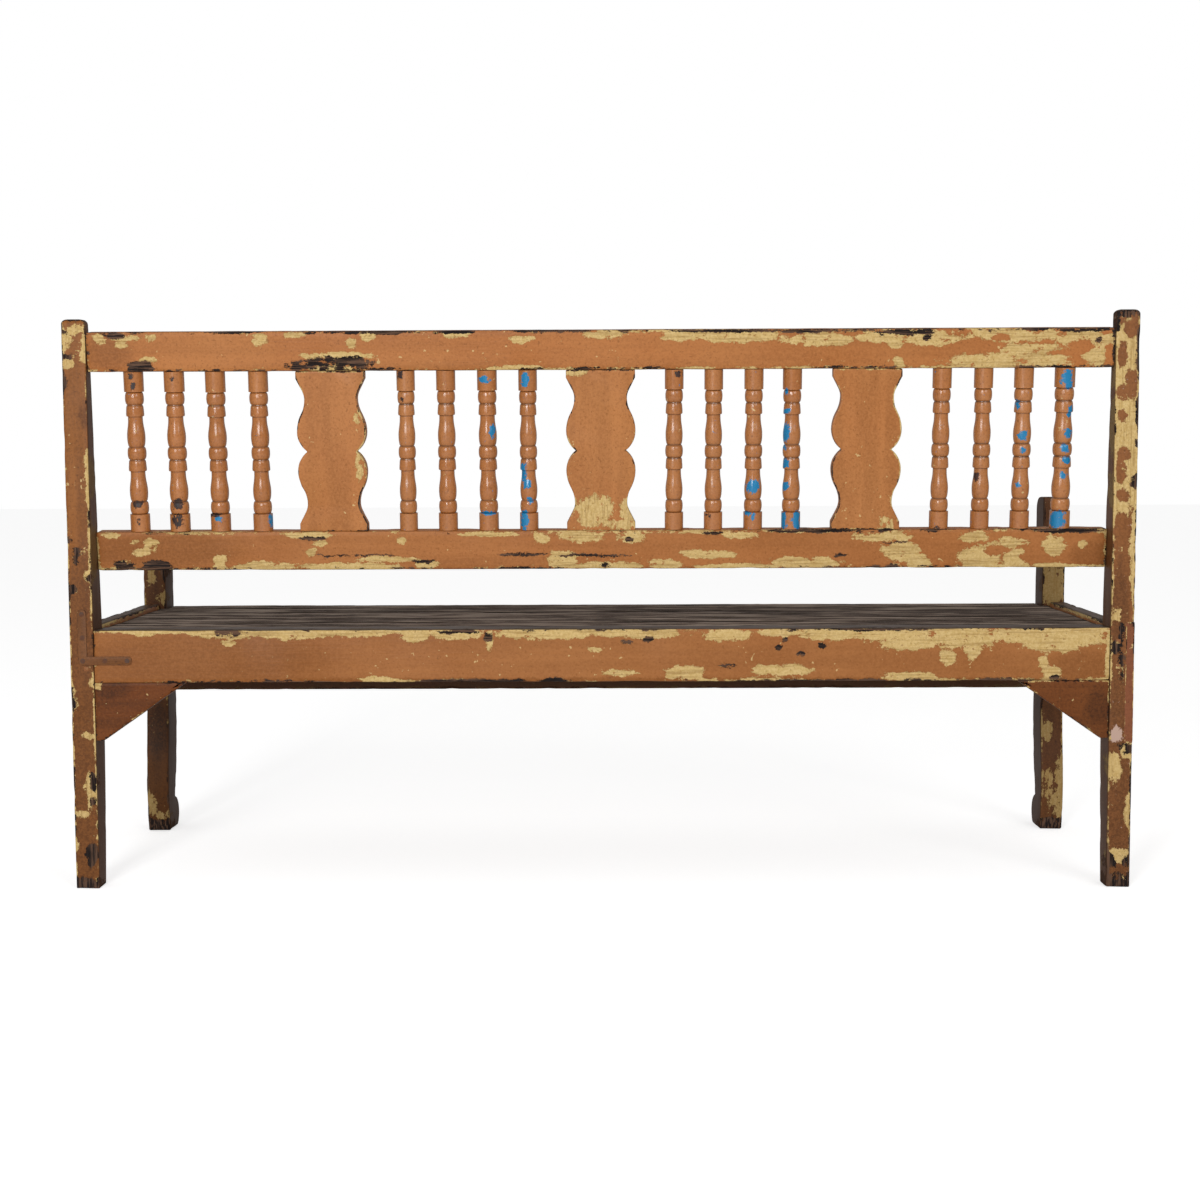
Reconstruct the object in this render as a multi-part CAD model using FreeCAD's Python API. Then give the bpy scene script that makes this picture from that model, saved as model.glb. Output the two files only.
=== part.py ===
# Deacon's bench: four legs, a slatted seat on a mortised rail frame, and a raked back
# with sixteen turned spindles in four groups and three shaped splats between them.
#
# Millimetres. X runs along the bench, Y from its back to its front, Z up from the floor.
# Every piece is drawn with Y = 0 on the back face of the rear legs. The last step moves
# the whole bench so that the origin is the middle of its footprint.

import FreeCAD, Part
import math
import os

from FreeCAD import Vector

# Overall
BENCH_LENGTH = 1830.0
SEAT_HEIGHT = 448.0
SEAT_SETBACK = 494.0

# Rear legs, which run up as back posts
REAR_LEG_WIDTH = 41.0
REAR_LEG_FOOT_DEPTH = 42.0
REAR_LEG_SEAT_DEPTH = 59.0
REAR_LEG_TOP_DEPTH = 24.0
POST_STAND = 22.6
RIGHT_LEG_EXTRA = 8.0
POST_TOP_ROUND = 8.0
FOOT_ROUND = 4.0

# Front legs, which run up as arm posts
FRONT_LEG_WIDTH = 44.0
FRONT_LEG_INSET = 2.0
ARM_POST_DEPTH = 66.0
ARM_POST_HEIGHT_LEFT = 590.0
ARM_POST_HEIGHT_RIGHT = 661.0
ARM_POST_ROUND = 25.0
KNEE_DROP = 41.0
KNEE_DEPTH = 70.0
ANKLE_HEIGHT = 62.0
ANKLE_FRONT = 42.0
HEEL_HEIGHT = 85.0
HEEL_KICK = 14.0
FOOT_BULB_FRONT = 72.0
FOOT_BULB_HEIGHT = 27.0
FOOT_SOLE_FRONT = 60.0
FOOT_SOLE_BACK = 5.0

# Raked back, measured along the rake but for the upright gap under the lower rail
BACK_RAKE = 5.4
LOWER_RAIL_GAP = 100.7
BACK_RAIL_THICKNESS = 34.0
TOP_RAIL_HEIGHT = 67.5
LOWER_RAIL_HEIGHT = 67.5
BACK_OPENING = 275.5
BACK_RAIL_ARRIS = 4.0

# Turned spindles, as diameters across the flats' corners and lengths down the turning.
# Every station is a ring of SPINDLE_SIDES corners, which keeps sixteen spindles light.
SPINDLE_SIDES = 12
SPINDLE_DIAMETER = 33.0
BEAD_DIAMETER = 32.0
SPINDLE_TENON_SIZE = 15.0
SPINDLE_TENON_LENGTH = 20.0
SPINDLE_TOP_PLAIN = 35.0
SPINDLE_BOTTOM_PLAIN = 30.0
BEAD_LENGTH = 22.0
BEAD_SLOPE_LENGTH = 6.0
GROOVE_SLOPE_LENGTH = 2.0
BEAD_GROOVE_DIAMETER = 27.5
REEL_LENGTH = 20.0
REEL_DIAMETER = 31.0
NECK_DIAMETER = 27.0
SWELL_DIAMETER = 31.5
SWELL_SHARE = 0.68
SPINDLES_PER_GROUP = 4
OUTER_GROUP_SET = 4.0
# How far each spindle stands from even spacing, left to right, because they were set out by eye
SPINDLE_DRIFTS = (-3, -3, -2, 2, 2, 1, 2, 2, 3, 1, 0, -4, -2, -1, -2, -2)

# Shaped splats
INNER_BAY_LESS = 7.5
SPLAT_DRIFTS = (-1, 2, -2)
SPLAT_THICKNESS = 20.0
SPLAT_BACK_SET = 2.0
SPLAT_END_WIDTH = 118.0
SPLAT_WAIST_WIDTH = 90.0
SPLAT_LOBE_WIDTH = 119.0
SPLAT_CUSP_WIDTH = 85.0
SPLAT_EDGE_HEIGHT = 13.0
SPLAT_WAIST_DROP = 48.0
SPLAT_LOBE_DROP = 104.0
SPLAT_SHOULDER_SLOPE = 27.0
SPLAT_TONGUE_THICKNESS = 10.0
SPLAT_TONGUE_HEIGHT = 12.0
SPLAT_TONGUE_SHOULDER = 9.0

# Seat frame
REAR_RAIL_HEIGHT = 91.0
REAR_RAIL_LIP = 4.0
SEAT_RAIL_ARRIS = 3.0
SIDE_RAIL_THICKNESS = 31.0
SIDE_RAIL_LIP = 7.0
FRONT_RAIL_THICKNESS = 32.0
FRONT_RAIL_DROP = 145.0
FRONT_RAIL_BACK_SET = 22.0

# Seat
SLAT_THICKNESS = 22.0
SLAT_WIDTHS = (82.0, 124.0, 84.0, 74.0)
SLAT_GAP = 3.0
SLAT_ARRIS = 3.0
SLAT_END_GAP = 1.0
SLAT_FRONT_OVERHANG = 4.0
CLEAT_SIZE = 22.0
BEARER_WIDTH = 40.0
BEARER_HEIGHT = 42.0
BEARER_PITCH = 440.0
BEARER_TONGUE = 12.0

# Rear corner brackets
BRACKET_REACH = 158.0
BRACKET_DROP = 101.0
BRACKET_TIP = 13.0
BRACKET_THICKNESS = 28.0
BRACKET_BACK_SET = 1.5

# Flat corner iron on the back of the left rear joint
IRON_THICKNESS = 2.4
IRON_WIDTH = 15.0
IRON_CORNER_ROUND = 6.0
IRON_RISE = 96.0
IRON_REACH = 92.0
IRON_SIDE_SET = 15.0
IRON_FOOT_DROP = 60.0

# Let-in repair on the outer back corner of the right rear leg
SPLICE_STAND = 10.0
SPLICE_LENGTH = 210.0
SPLICE_WIDTH = 15.0
SPLICE_DEPTH = 11.0
SPLICE_SLOPE_RUN = 26.0

# Joints and fastenings
TENON_THICKNESS = 12.0
BACK_TENON_THICKNESS = 9.0
TENON_LENGTH = 27.0
TENON_SHOULDER = 9.0
TENON_END_GAP = 1.0
JOINT_CLEARANCE = 0.2
PEG_SIZE = 8.0
PEG_DEPTH = 24.0
PEG_EDGE = 24.0
BRACKET_NAIL_SIZE = 5.0
BRACKET_NAIL_LENGTH = 60.0

# Heights and places that follow from the sizes above
HALF_LENGTH = BENCH_LENGTH / 2
REAR_INNER_X = HALF_LENGTH - REAR_LEG_WIDTH
FRONT_OUTER_X = HALF_LENGTH - FRONT_LEG_INSET
FRONT_INNER_X = FRONT_OUTER_X - FRONT_LEG_WIDTH
REAR_RAIL_TOP = SEAT_HEIGHT + REAR_RAIL_LIP
REAR_RAIL_BOTTOM = REAR_RAIL_TOP - REAR_RAIL_HEIGHT
SLAT_UNDERSIDE = SEAT_HEIGHT - SLAT_THICKNESS
FRONT_RAIL_BOTTOM = SLAT_UNDERSIDE - FRONT_RAIL_DROP
KNEE_HEIGHT = FRONT_RAIL_BOTTOM - KNEE_DROP
FRONT_RAIL_BACK = SEAT_SETBACK + FRONT_RAIL_BACK_SET
FRONT_RAIL_FRONT = FRONT_RAIL_BACK + FRONT_RAIL_THICKNESS
SEAT_FRONT = FRONT_RAIL_FRONT + SLAT_FRONT_OVERHANG
SLAT_SPAN = SEAT_FRONT - REAR_LEG_SEAT_DEPTH - SLAT_GAP * (len(SLAT_WIDTHS) + 1)
ALL_SLAT_WIDTHS = (SLAT_SPAN - sum(SLAT_WIDTHS),) + SLAT_WIDTHS
SIDE_OUTER_X = FRONT_OUTER_X
SIDE_INNER_X = SIDE_OUTER_X - SIDE_RAIL_THICKNESS
LOWER_RAIL_TOP_DROP = TOP_RAIL_HEIGHT + BACK_OPENING
LOWER_RAIL_BOTTOM_DROP = LOWER_RAIL_TOP_DROP + LOWER_RAIL_HEIGHT
BACK_HEIGHT = REAR_RAIL_TOP + LOWER_RAIL_GAP + LOWER_RAIL_BOTTOM_DROP * math.cos(math.radians(BACK_RAKE))
REAR_LEG_HEIGHT = BACK_HEIGHT + POST_STAND
IRON_FOOT_HEIGHT = REAR_RAIL_TOP - IRON_FOOT_DROP
SPLICE_HIGH = REAR_RAIL_TOP + SPLICE_STAND
SPLICE_LOW = SPLICE_HIGH - SPLICE_LENGTH
MEAN_BAY = (2 * REAR_INNER_X - 3 * SPLAT_END_WIDTH) / 4
SPINDLE_PITCH = MEAN_BAY / (SPINDLES_PER_GROUP + 1)
SPLAT_PITCH = MEAN_BAY - INNER_BAY_LESS + SPLAT_END_WIDTH
OUTER_GROUP_CENTRE = (SPLAT_PITCH + SPLAT_END_WIDTH / 2 + REAR_INNER_X) / 2 - OUTER_GROUP_SET
BENCH_DEPTH = SEAT_SETBACK + FOOT_BULB_FRONT
CENTRE_SHIFT = (BENCH_DEPTH - IRON_THICKNESS) / 2
LEFT, RIGHT = -1, 1


def block(x_pair, y_pair, z_pair):
    """Return a box between two corners, whichever way round each pair is given."""
    low = Vector(min(x_pair), min(y_pair), min(z_pair))
    high = Vector(max(x_pair), max(y_pair), max(z_pair))
    size = high - low
    return Part.makeBox(size.x, size.y, size.z, low)


def joined(shapes):
    """Fuse overlapping or touching shapes into one piece with clean faces."""
    whole = shapes[0]
    if len(shapes) > 1:
        whole = whole.fuse(shapes[1:])
    return whole.removeSplitter()


def carved(shape, tools):
    """Cut every tool out of a shape."""
    for tool in tools:
        shape = shape.cut(tool)
    return shape


def tangent_arc(start, heading, end):
    """Return the arc that leaves start along heading and passes through end."""
    chord = end.sub(start)
    turn = math.atan2(heading.cross(chord).x, heading.dot(chord))
    lean = Vector(0, math.cos(turn / 2) * heading.y - math.sin(turn / 2) * heading.z,
                  math.sin(turn / 2) * heading.y + math.cos(turn / 2) * heading.z)
    middle = start.add(lean.multiply(chord.Length / (2 * math.cos(turn / 2))))
    return Part.Arc(start, middle, end).toShape()


def s_curve(start, end, share):
    """Return two arcs, upright at both ends, that swap their bend at a share of the way."""
    swap = start.add(end.sub(start).multiply(share))
    heading = Vector(0, 0, math.copysign(1, end.z - start.z))
    back = Vector(0, 0, -heading.z)
    return [tangent_arc(start, heading, swap), tangent_arc(end, back, swap)]


def line(start, end):
    """Return a straight edge."""
    return Part.LineSegment(start, end).toShape()


def sawn(edges, x_pair):
    """Saw a board to the closed outline of the edges, drawn in the YZ plane, between two X."""
    face = Part.Face(Part.Wire(Part.__sortEdges__(edges)))
    board = face.extrude(Vector(max(x_pair) - min(x_pair), 0, 0))
    board.translate(Vector(min(x_pair), 0, 0))
    return board


def rounded_front_view(x_pair, z_pair, top_round, bottom_round):
    """Return a deep prism whose outline, seen from the back, has rounded corners."""
    prism = block(x_pair, (-BENCH_DEPTH, 2 * BENCH_DEPTH), z_pair)
    for level, radius in ((z_pair[1], top_round), (z_pair[0], bottom_round)):
        corners = [edge for edge in prism.Edges
                   if abs(edge.BoundBox.ZMin - level) < 0.01
                   and edge.BoundBox.ZLength < 0.01
                   and edge.BoundBox.XLength < 0.01]
        prism = prism.makeFillet(radius, corners)
    return prism


def long_edges_at(shape, y, z):
    """Find the edges that run along X at the given Y and Z."""
    return [edge for edge in shape.Edges
            if edge.BoundBox.YLength < 0.01 and edge.BoundBox.ZLength < 0.01
            and abs(edge.BoundBox.YMin - y) < 0.01 and abs(edge.BoundBox.ZMin - z) < 0.01]


def eased(shape, radius, places):
    """Round the long edges that run along X at each (Y, Z) place."""
    edges = []
    for y, z in places:
        edges += long_edges_at(shape, y, z)
    return shape.makeFillet(radius, edges)


def raked(shape):
    """Lean a piece of the back, drawn upright below the top rail's upper back edge."""
    leaned = shape.copy()
    leaned.rotate(Vector(0, 0, 0), Vector(1, 0, 0), BACK_RAKE)
    leaned.translate(Vector(0, 0, BACK_HEIGHT))
    return leaned


class Tenon:
    """A tenon along X or Y and the mortise that takes it with a named clearance."""

    def __init__(self, axis, shoulder, way, side_pair, z_pair, length=TENON_LENGTH):
        self.axis = axis
        self.shoulder = shoulder
        self.way = way
        self.side_pair = side_pair
        self.z_pair = z_pair
        self.length = length

    def _solid(self, reach, spare):
        run = (self.shoulder, self.shoulder + self.way * reach)
        side = (min(self.side_pair) - spare, max(self.side_pair) + spare)
        height = (min(self.z_pair) - spare, max(self.z_pair) + spare)
        if self.axis == "x":
            return block(run, side, height)
        return block(side, run, height)

    def solid(self):
        """Return the tenon itself."""
        return self._solid(self.length, 0)

    def mortise(self):
        """Return the space cut for the tenon."""
        return self._solid(self.length + TENON_END_GAP, JOINT_CLEARANCE)


def inset_pair(low, high, shoulder):
    """Return a pair drawn in by a shoulder at both ends."""
    return (low + shoulder, high - shoulder)


# Tenons, all worked out once so that each rail and its legs share them

def back_rail_tenon(side, top_drop, bottom_drop):
    """Tenon of a raked back rail, flush with the rail's back face, drawn before the rake."""
    z_pair = inset_pair(-bottom_drop, -top_drop, TENON_SHOULDER)
    return Tenon("x", side * REAR_INNER_X, side, (0, BACK_TENON_THICKNESS), z_pair)


def top_rail_tenon(side):
    """Tenon of the top rail, set in from both faces of the thin end of the post."""
    z_pair = inset_pair(-TOP_RAIL_HEIGHT, 0, TENON_SHOULDER)
    y_low = (REAR_LEG_TOP_DEPTH - BACK_TENON_THICKNESS) / 2
    return Tenon("x", side * REAR_INNER_X, side, (y_low, y_low + BACK_TENON_THICKNESS), z_pair)


def lower_rail_tenon(side):
    """Tenon of the lower back rail, flush with the rail's back because the post ends in front of it."""
    return back_rail_tenon(side, LOWER_RAIL_TOP_DROP, LOWER_RAIL_BOTTOM_DROP)


def rear_rail_tenon(side):
    """Tenon of the rear seat rail, towards the back so that the side rail's tenon clears it."""
    z_pair = inset_pair(REAR_RAIL_BOTTOM, REAR_RAIL_TOP, TENON_SHOULDER)
    return Tenon("x", side * REAR_INNER_X, side, (TENON_THICKNESS, 2 * TENON_THICKNESS), z_pair)


def front_rail_tenon(side):
    """Tenon of the front seat rail."""
    z_pair = inset_pair(FRONT_RAIL_BOTTOM, SLAT_UNDERSIDE, TENON_SHOULDER)
    y_middle = (FRONT_RAIL_BACK + FRONT_RAIL_FRONT) / 2
    y_pair = (y_middle - TENON_THICKNESS / 2, y_middle + TENON_THICKNESS / 2)
    return Tenon("x", side * FRONT_INNER_X, side, y_pair, z_pair)


def side_rail_tenon(side, end):
    """Tenon of a side rail into its rear leg (end -1) or its front leg (end 1)."""
    z_pair = inset_pair(REAR_RAIL_BOTTOM, REAR_RAIL_TOP, TENON_SHOULDER)
    x_middle = side * (SIDE_INNER_X + SIDE_OUTER_X) / 2
    x_pair = (x_middle - TENON_THICKNESS / 2, x_middle + TENON_THICKNESS / 2)
    if end < 0:
        return Tenon("y", REAR_LEG_SEAT_DEPTH, -1, x_pair, z_pair)
    return Tenon("y", SEAT_SETBACK, 1, x_pair, z_pair, FRONT_RAIL_BACK_SET - TENON_END_GAP)


# Joint pegs: square oak pins driven from the back of the rear legs and the inside of the front legs

def peg_places():
    """Return the (X, Z) middle of every peg in the rear legs and in the front legs."""
    rear, front = [], []
    for side in (LEFT, RIGHT):
        x_rear = side * (REAR_INNER_X + TENON_LENGTH / 2)
        x_front = side * (FRONT_INNER_X + TENON_LENGTH / 2)
        rake_height = math.cos(math.radians(BACK_RAKE))
        rear.append((x_rear, BACK_HEIGHT - TOP_RAIL_HEIGHT / 2 * rake_height))
        lower_middle = (LOWER_RAIL_TOP_DROP + LOWER_RAIL_BOTTOM_DROP) / 2
        rear.append((x_rear, BACK_HEIGHT - lower_middle * rake_height))
        for height in inset_pair(REAR_RAIL_BOTTOM, REAR_RAIL_TOP, PEG_EDGE):
            rear.append((x_rear, height))
        for height in inset_pair(FRONT_RAIL_BOTTOM, SLAT_UNDERSIDE, PEG_EDGE + TENON_SHOULDER):
            front.append((x_front, height))
    return rear, front


def lower_peg_depth():
    """Return how far the deep-set lower rail's pegs run in from the back of the post."""
    lower_middle = (LOWER_RAIL_TOP_DROP + LOWER_RAIL_BOTTOM_DROP) / 2
    return lower_middle * math.sin(math.radians(BACK_RAKE)) + BACK_TENON_THICKNESS


def peg_solids(spare):
    """Return the pegs in the rear legs and in the front legs, grown by spare for their holes."""
    half = PEG_SIZE / 2 + spare
    rear_places, front_places = peg_places()
    rear, front = [], []
    for x, z in rear_places:
        deep = PEG_DEPTH
        if REAR_RAIL_TOP < z < BACK_HEIGHT - TOP_RAIL_HEIGHT:
            deep = lower_peg_depth()
        rear.append(block((x - half, x + half), (0, deep + spare), (z - half, z + half)))
    for x, z in front_places:
        y_pair = (SEAT_SETBACK, FRONT_RAIL_FRONT - TENON_THICKNESS / 2 + spare)
        front.append(block((x - half, x + half), y_pair, (z - half, z + half)))
    return rear, front


# Legs

def rear_leg(side, height):
    """Return a rear leg and back post sawn from one board, with its mortises and peg holes."""
    foot = Vector(0, REAR_LEG_FOOT_DEPTH, 0)
    knee = Vector(0, REAR_LEG_SEAT_DEPTH, REAR_RAIL_BOTTOM)
    waist = Vector(0, REAR_LEG_SEAT_DEPTH, REAR_RAIL_TOP)
    top = Vector(0, REAR_LEG_TOP_DEPTH, height)
    edges = [line(Vector(0, 0, 0), foot), tangent_arc(knee, Vector(0, 0, -1), foot),
             line(knee, waist), line(waist, top), line(top, Vector(0, 0, height)),
             line(Vector(0, 0, height), Vector(0, 0, 0))]
    x_pair = (side * REAR_INNER_X, side * HALF_LENGTH)
    leg = sawn(edges, x_pair)
    leg = eased(leg, POST_TOP_ROUND, [(0, height), (REAR_LEG_TOP_DEPTH, height)])
    leg = leg.common(rounded_front_view(x_pair, (0, height), POST_TOP_ROUND, FOOT_ROUND))
    rear_pegs, _ = peg_solids(JOINT_CLEARANCE)
    cuts = [raked(top_rail_tenon(side).mortise()), raked(lower_rail_tenon(side).mortise()),
            rear_rail_tenon(side).mortise(), side_rail_tenon(side, -1).mortise()]
    cuts += [peg for peg in rear_pegs if peg.BoundBox.Center.x * side > 0]
    return carved(leg, cuts)


def front_leg(side, height):
    """Return a front leg and arm post with a swept knee, a kicked heel and a bulbous foot."""
    back = SEAT_SETBACK
    front = back + ARM_POST_DEPTH
    top_back = Vector(0, back, height)
    top_front = Vector(0, front - ARM_POST_ROUND, height)
    post_front = Vector(0, front, height - ARM_POST_ROUND)
    rail_front = Vector(0, front, FRONT_RAIL_BOTTOM)
    knee = Vector(0, back + KNEE_DEPTH, KNEE_HEIGHT)
    ankle = Vector(0, back + ANKLE_FRONT, ANKLE_HEIGHT)
    bulb = Vector(0, back + FOOT_BULB_FRONT, FOOT_BULB_HEIGHT)
    sole_front = Vector(0, back + FOOT_SOLE_FRONT, 0)
    sole_back = Vector(0, back - FOOT_SOLE_BACK, 0)
    heel = Vector(0, back - HEEL_KICK, HEEL_HEIGHT)
    calf = Vector(0, back, KNEE_HEIGHT)
    edges = [line(top_back, top_front), tangent_arc(top_front, Vector(0, 1, 0), post_front),
             line(post_front, rail_front), tangent_arc(knee, Vector(0, 0, 1), rail_front),
             tangent_arc(knee, Vector(0, 0, -1), ankle),
             tangent_arc(bulb, Vector(0, 0, 1), ankle), tangent_arc(bulb, Vector(0, 0, -1), sole_front),
             line(sole_front, sole_back), tangent_arc(heel, Vector(0, 0, -1), sole_back),
             line(calf, top_back)]
    edges += s_curve(heel, calf, 0.5)
    x_pair = (side * FRONT_INNER_X, side * FRONT_OUTER_X)
    leg = sawn(edges, x_pair)
    leg = leg.common(rounded_front_view(x_pair, (0, height), POST_TOP_ROUND / 2, FOOT_ROUND))
    _, front_pegs = peg_solids(JOINT_CLEARANCE)
    cuts = [front_rail_tenon(side).mortise(), side_rail_tenon(side, 1).mortise()]
    cuts += [peg for peg in front_pegs if peg.BoundBox.Center.x * side > 0]
    return carved(leg, cuts)


# Back rails

def spindle_centres():
    """Return the X of every spindle from left to right."""
    centres = []
    for group in (-OUTER_GROUP_CENTRE, -SPLAT_PITCH / 2, SPLAT_PITCH / 2, OUTER_GROUP_CENTRE):
        for place in range(SPINDLES_PER_GROUP):
            centres.append(group + (place - (SPINDLES_PER_GROUP - 1) / 2) * SPINDLE_PITCH)
    return [centre + drift for centre, drift in zip(centres, SPINDLE_DRIFTS)]


def spindle_tenons(x, spare, end_gap):
    """Return a spindle's two square tenons, grown by spare and lengthened by end_gap for sockets."""
    half = SPINDLE_TENON_SIZE / 2 + spare
    y = BACK_RAIL_THICKNESS / 2
    tenons = []
    for z, way in ((-TOP_RAIL_HEIGHT, 1), (-LOWER_RAIL_TOP_DROP, -1)):
        z_pair = (z, z + way * (SPINDLE_TENON_LENGTH + end_gap))
        tenons.append(block((x - half, x + half), (y - half, y + half), z_pair))
    return tenons


def splat_centres():
    """Return the X of the three splats from left to right."""
    return [step * SPLAT_PITCH + drift for step, drift in zip((-1, 0, 1), SPLAT_DRIFTS)]


def splat_tongues(x, spare):
    """Return a splat's tongue at each end, grown by spare for the slots in the rails."""
    half_width = SPLAT_END_WIDTH / 2 - SPLAT_TONGUE_SHOULDER + spare
    y_low = SPLAT_BACK_SET + (SPLAT_THICKNESS - SPLAT_TONGUE_THICKNESS) / 2
    y_pair = (y_low - spare, y_low + SPLAT_TONGUE_THICKNESS + spare)
    tongues = []
    for z, way in ((-TOP_RAIL_HEIGHT, 1), (-LOWER_RAIL_TOP_DROP, -1)):
        z_pair = (z, z + way * (SPLAT_TONGUE_HEIGHT + spare))
        tongues.append(block((x - half_width, x + half_width), y_pair, z_pair))
    return tongues


def back_rail(top_drop, bottom_drop, tenon_of):
    """Return one raked rail of the back with its tenons, spindle sockets, splat slots and peg holes."""
    x_pair = (-REAR_INNER_X, REAR_INNER_X)
    rail = block(x_pair, (0, BACK_RAIL_THICKNESS), (-bottom_drop, -top_drop))
    rail = eased(rail, BACK_RAIL_ARRIS, [(0, -top_drop), (BACK_RAIL_THICKNESS, -top_drop)])
    rail = joined([rail, tenon_of(LEFT).solid(), tenon_of(RIGHT).solid()])
    sockets = []
    for x in spindle_centres():
        sockets += spindle_tenons(x, JOINT_CLEARANCE, TENON_END_GAP)
    for x in splat_centres():
        sockets += splat_tongues(x, JOINT_CLEARANCE)
    rail = rail.cut(Part.makeCompound(sockets))
    rear_pegs, _ = peg_solids(JOINT_CLEARANCE)
    return carved(raked(rail), rear_pegs)


# Spindles

def turning_stations():
    """Return the (drop, diameter) stations of the turning, from its top shoulder to its bottom one."""
    repeats = 3 * BEAD_LENGTH + 2 * REEL_LENGTH
    vase = (BACK_OPENING - SPINDLE_TOP_PLAIN - SPINDLE_BOTTOM_PLAIN - repeats) / 2
    bead = [(0, BEAD_GROOVE_DIAMETER), (BEAD_SLOPE_LENGTH, BEAD_DIAMETER),
            (BEAD_LENGTH - BEAD_SLOPE_LENGTH, BEAD_DIAMETER), (BEAD_LENGTH, BEAD_GROOVE_DIAMETER)]
    reel = [(REEL_LENGTH, REEL_DIAMETER), (REEL_LENGTH, NECK_DIAMETER)]
    swell = [(SWELL_SHARE * vase, SWELL_DIAMETER)]
    stations = [(0, SPINDLE_DIAMETER), (SPINDLE_TOP_PLAIN - GROOVE_SLOPE_LENGTH, SPINDLE_DIAMETER)]
    drop = SPINDLE_TOP_PLAIN
    for run, shape in 2 * [(BEAD_LENGTH, bead), (REEL_LENGTH, reel), (vase, swell)] + [(BEAD_LENGTH, bead)]:
        stations += [(drop + place, diameter) for place, diameter in shape]
        drop += run
    return stations + [(drop + GROOVE_SLOPE_LENGTH, SPINDLE_DIAMETER), (BACK_OPENING, SPINDLE_DIAMETER)]


def station_ring(drop, diameter):
    """Return the corners of the flat-sided ring at one station."""
    angles = [2 * math.pi * corner / SPINDLE_SIDES for corner in range(SPINDLE_SIDES)]
    return [Vector(diameter / 2 * math.cos(angle), diameter / 2 * math.sin(angle), -drop)
            for angle in angles]


def facet(*corners):
    """Return the flat face with these corners."""
    return Part.Face(Part.makePolygon(list(corners) + [corners[0]]))


def spindle(x):
    """Return one turned spindle with its square tenons in their sockets."""
    rings = [station_ring(drop, diameter) for drop, diameter in turning_stations()]
    facets = [facet(*rings[0]), facet(*rings[-1])]
    for upper, lower in zip(rings, rings[1:]):
        for corner in range(SPINDLE_SIDES):
            facets.append(facet(upper[corner - 1], upper[corner], lower[corner], lower[corner - 1]))
    turning = Part.makeSolid(Part.makeShell(facets))
    turning.translate(Vector(x, BACK_RAIL_THICKNESS / 2, -TOP_RAIL_HEIGHT))
    return raked(turning.fuse(spindle_tenons(x, 0, 0)))


# Splats

def splat_half_side(side, middle_z, way):
    """Return the edges of one quarter of a splat's outline, from its end to its cusp."""
    def at(half_width, drop):
        return Vector(0, side * half_width, middle_z + way * (BACK_OPENING / 2 - drop))

    corner = at(SPLAT_END_WIDTH / 2, 0)
    edge_end = at(SPLAT_END_WIDTH / 2, SPLAT_EDGE_HEIGHT)
    waist = at(SPLAT_WAIST_WIDTH / 2, SPLAT_WAIST_DROP)
    lobe = at(SPLAT_LOBE_WIDTH / 2, SPLAT_LOBE_DROP)
    cusp = at(SPLAT_CUSP_WIDTH / 2, BACK_OPENING / 2)
    slope = math.radians(SPLAT_SHOULDER_SLOPE)
    out = (SPLAT_END_WIDTH - SPLAT_WAIST_WIDTH) / 2
    rise = SPLAT_WAIST_DROP - SPLAT_EDGE_HEIGHT
    radius = (rise * math.tan(slope) - out) / (math.sin(slope) * math.tan(slope) - 1 + math.cos(slope))
    shoulder = at(SPLAT_WAIST_WIDTH / 2 + radius * (1 - math.cos(slope)),
                  SPLAT_WAIST_DROP - radius * math.sin(slope))
    edges = [line(corner, edge_end), line(edge_end, shoulder),
             tangent_arc(waist, Vector(0, 0, way), shoulder),
             tangent_arc(lobe, Vector(0, 0, -way), cusp)]
    return edges + s_curve(waist, lobe, 0.45)


def splat(x):
    """Return one shaped splat with a tongue at each end."""
    middle_z = -TOP_RAIL_HEIGHT - BACK_OPENING / 2
    edges = []
    for way in (1, -1):
        z = middle_z + way * BACK_OPENING / 2
        edges.append(line(Vector(0, -SPLAT_END_WIDTH / 2, z), Vector(0, SPLAT_END_WIDTH / 2, z)))
        for side in (LEFT, RIGHT):
            edges += splat_half_side(side, middle_z, way)
    board = sawn(edges, (0, SPLAT_THICKNESS))
    board.rotate(Vector(0, 0, 0), Vector(0, 0, 1), 90)
    board.translate(Vector(x, SPLAT_BACK_SET, 0))
    return raked(joined([board] + splat_tongues(x, 0)))


# Seat frame

def bearer_tongues(spare):
    """Return the stub tongues of the three cross bearers, grown by spare for their slots."""
    half = BEARER_WIDTH / 2 + spare
    z_pair = (SLAT_UNDERSIDE - BEARER_HEIGHT - spare, SLAT_UNDERSIDE)
    tongues = []
    for step in (-1, 0, 1):
        x = step * BEARER_PITCH
        for y, way in ((REAR_LEG_SEAT_DEPTH, -1), (FRONT_RAIL_BACK, 1)):
            tongues.append(block((x - half, x + half), (y, y + way * (BEARER_TONGUE + spare)), z_pair))
    return tongues


def rear_seat_rail():
    """Return the deep rail between the rear legs, flush with their backs."""
    x_pair = (-REAR_INNER_X, REAR_INNER_X)
    rail = block(x_pair, (0, REAR_LEG_SEAT_DEPTH), (REAR_RAIL_BOTTOM, REAR_RAIL_TOP))
    rail = eased(rail, SEAT_RAIL_ARRIS, [(0, REAR_RAIL_TOP), (REAR_LEG_SEAT_DEPTH, REAR_RAIL_TOP)])
    rail = joined([rail, rear_rail_tenon(LEFT).solid(), rear_rail_tenon(RIGHT).solid()])
    rear_pegs, _ = peg_solids(JOINT_CLEARANCE)
    return carved(rail, bearer_tongues(JOINT_CLEARANCE) + rear_pegs + bracket_nails(JOINT_CLEARANCE))


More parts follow.
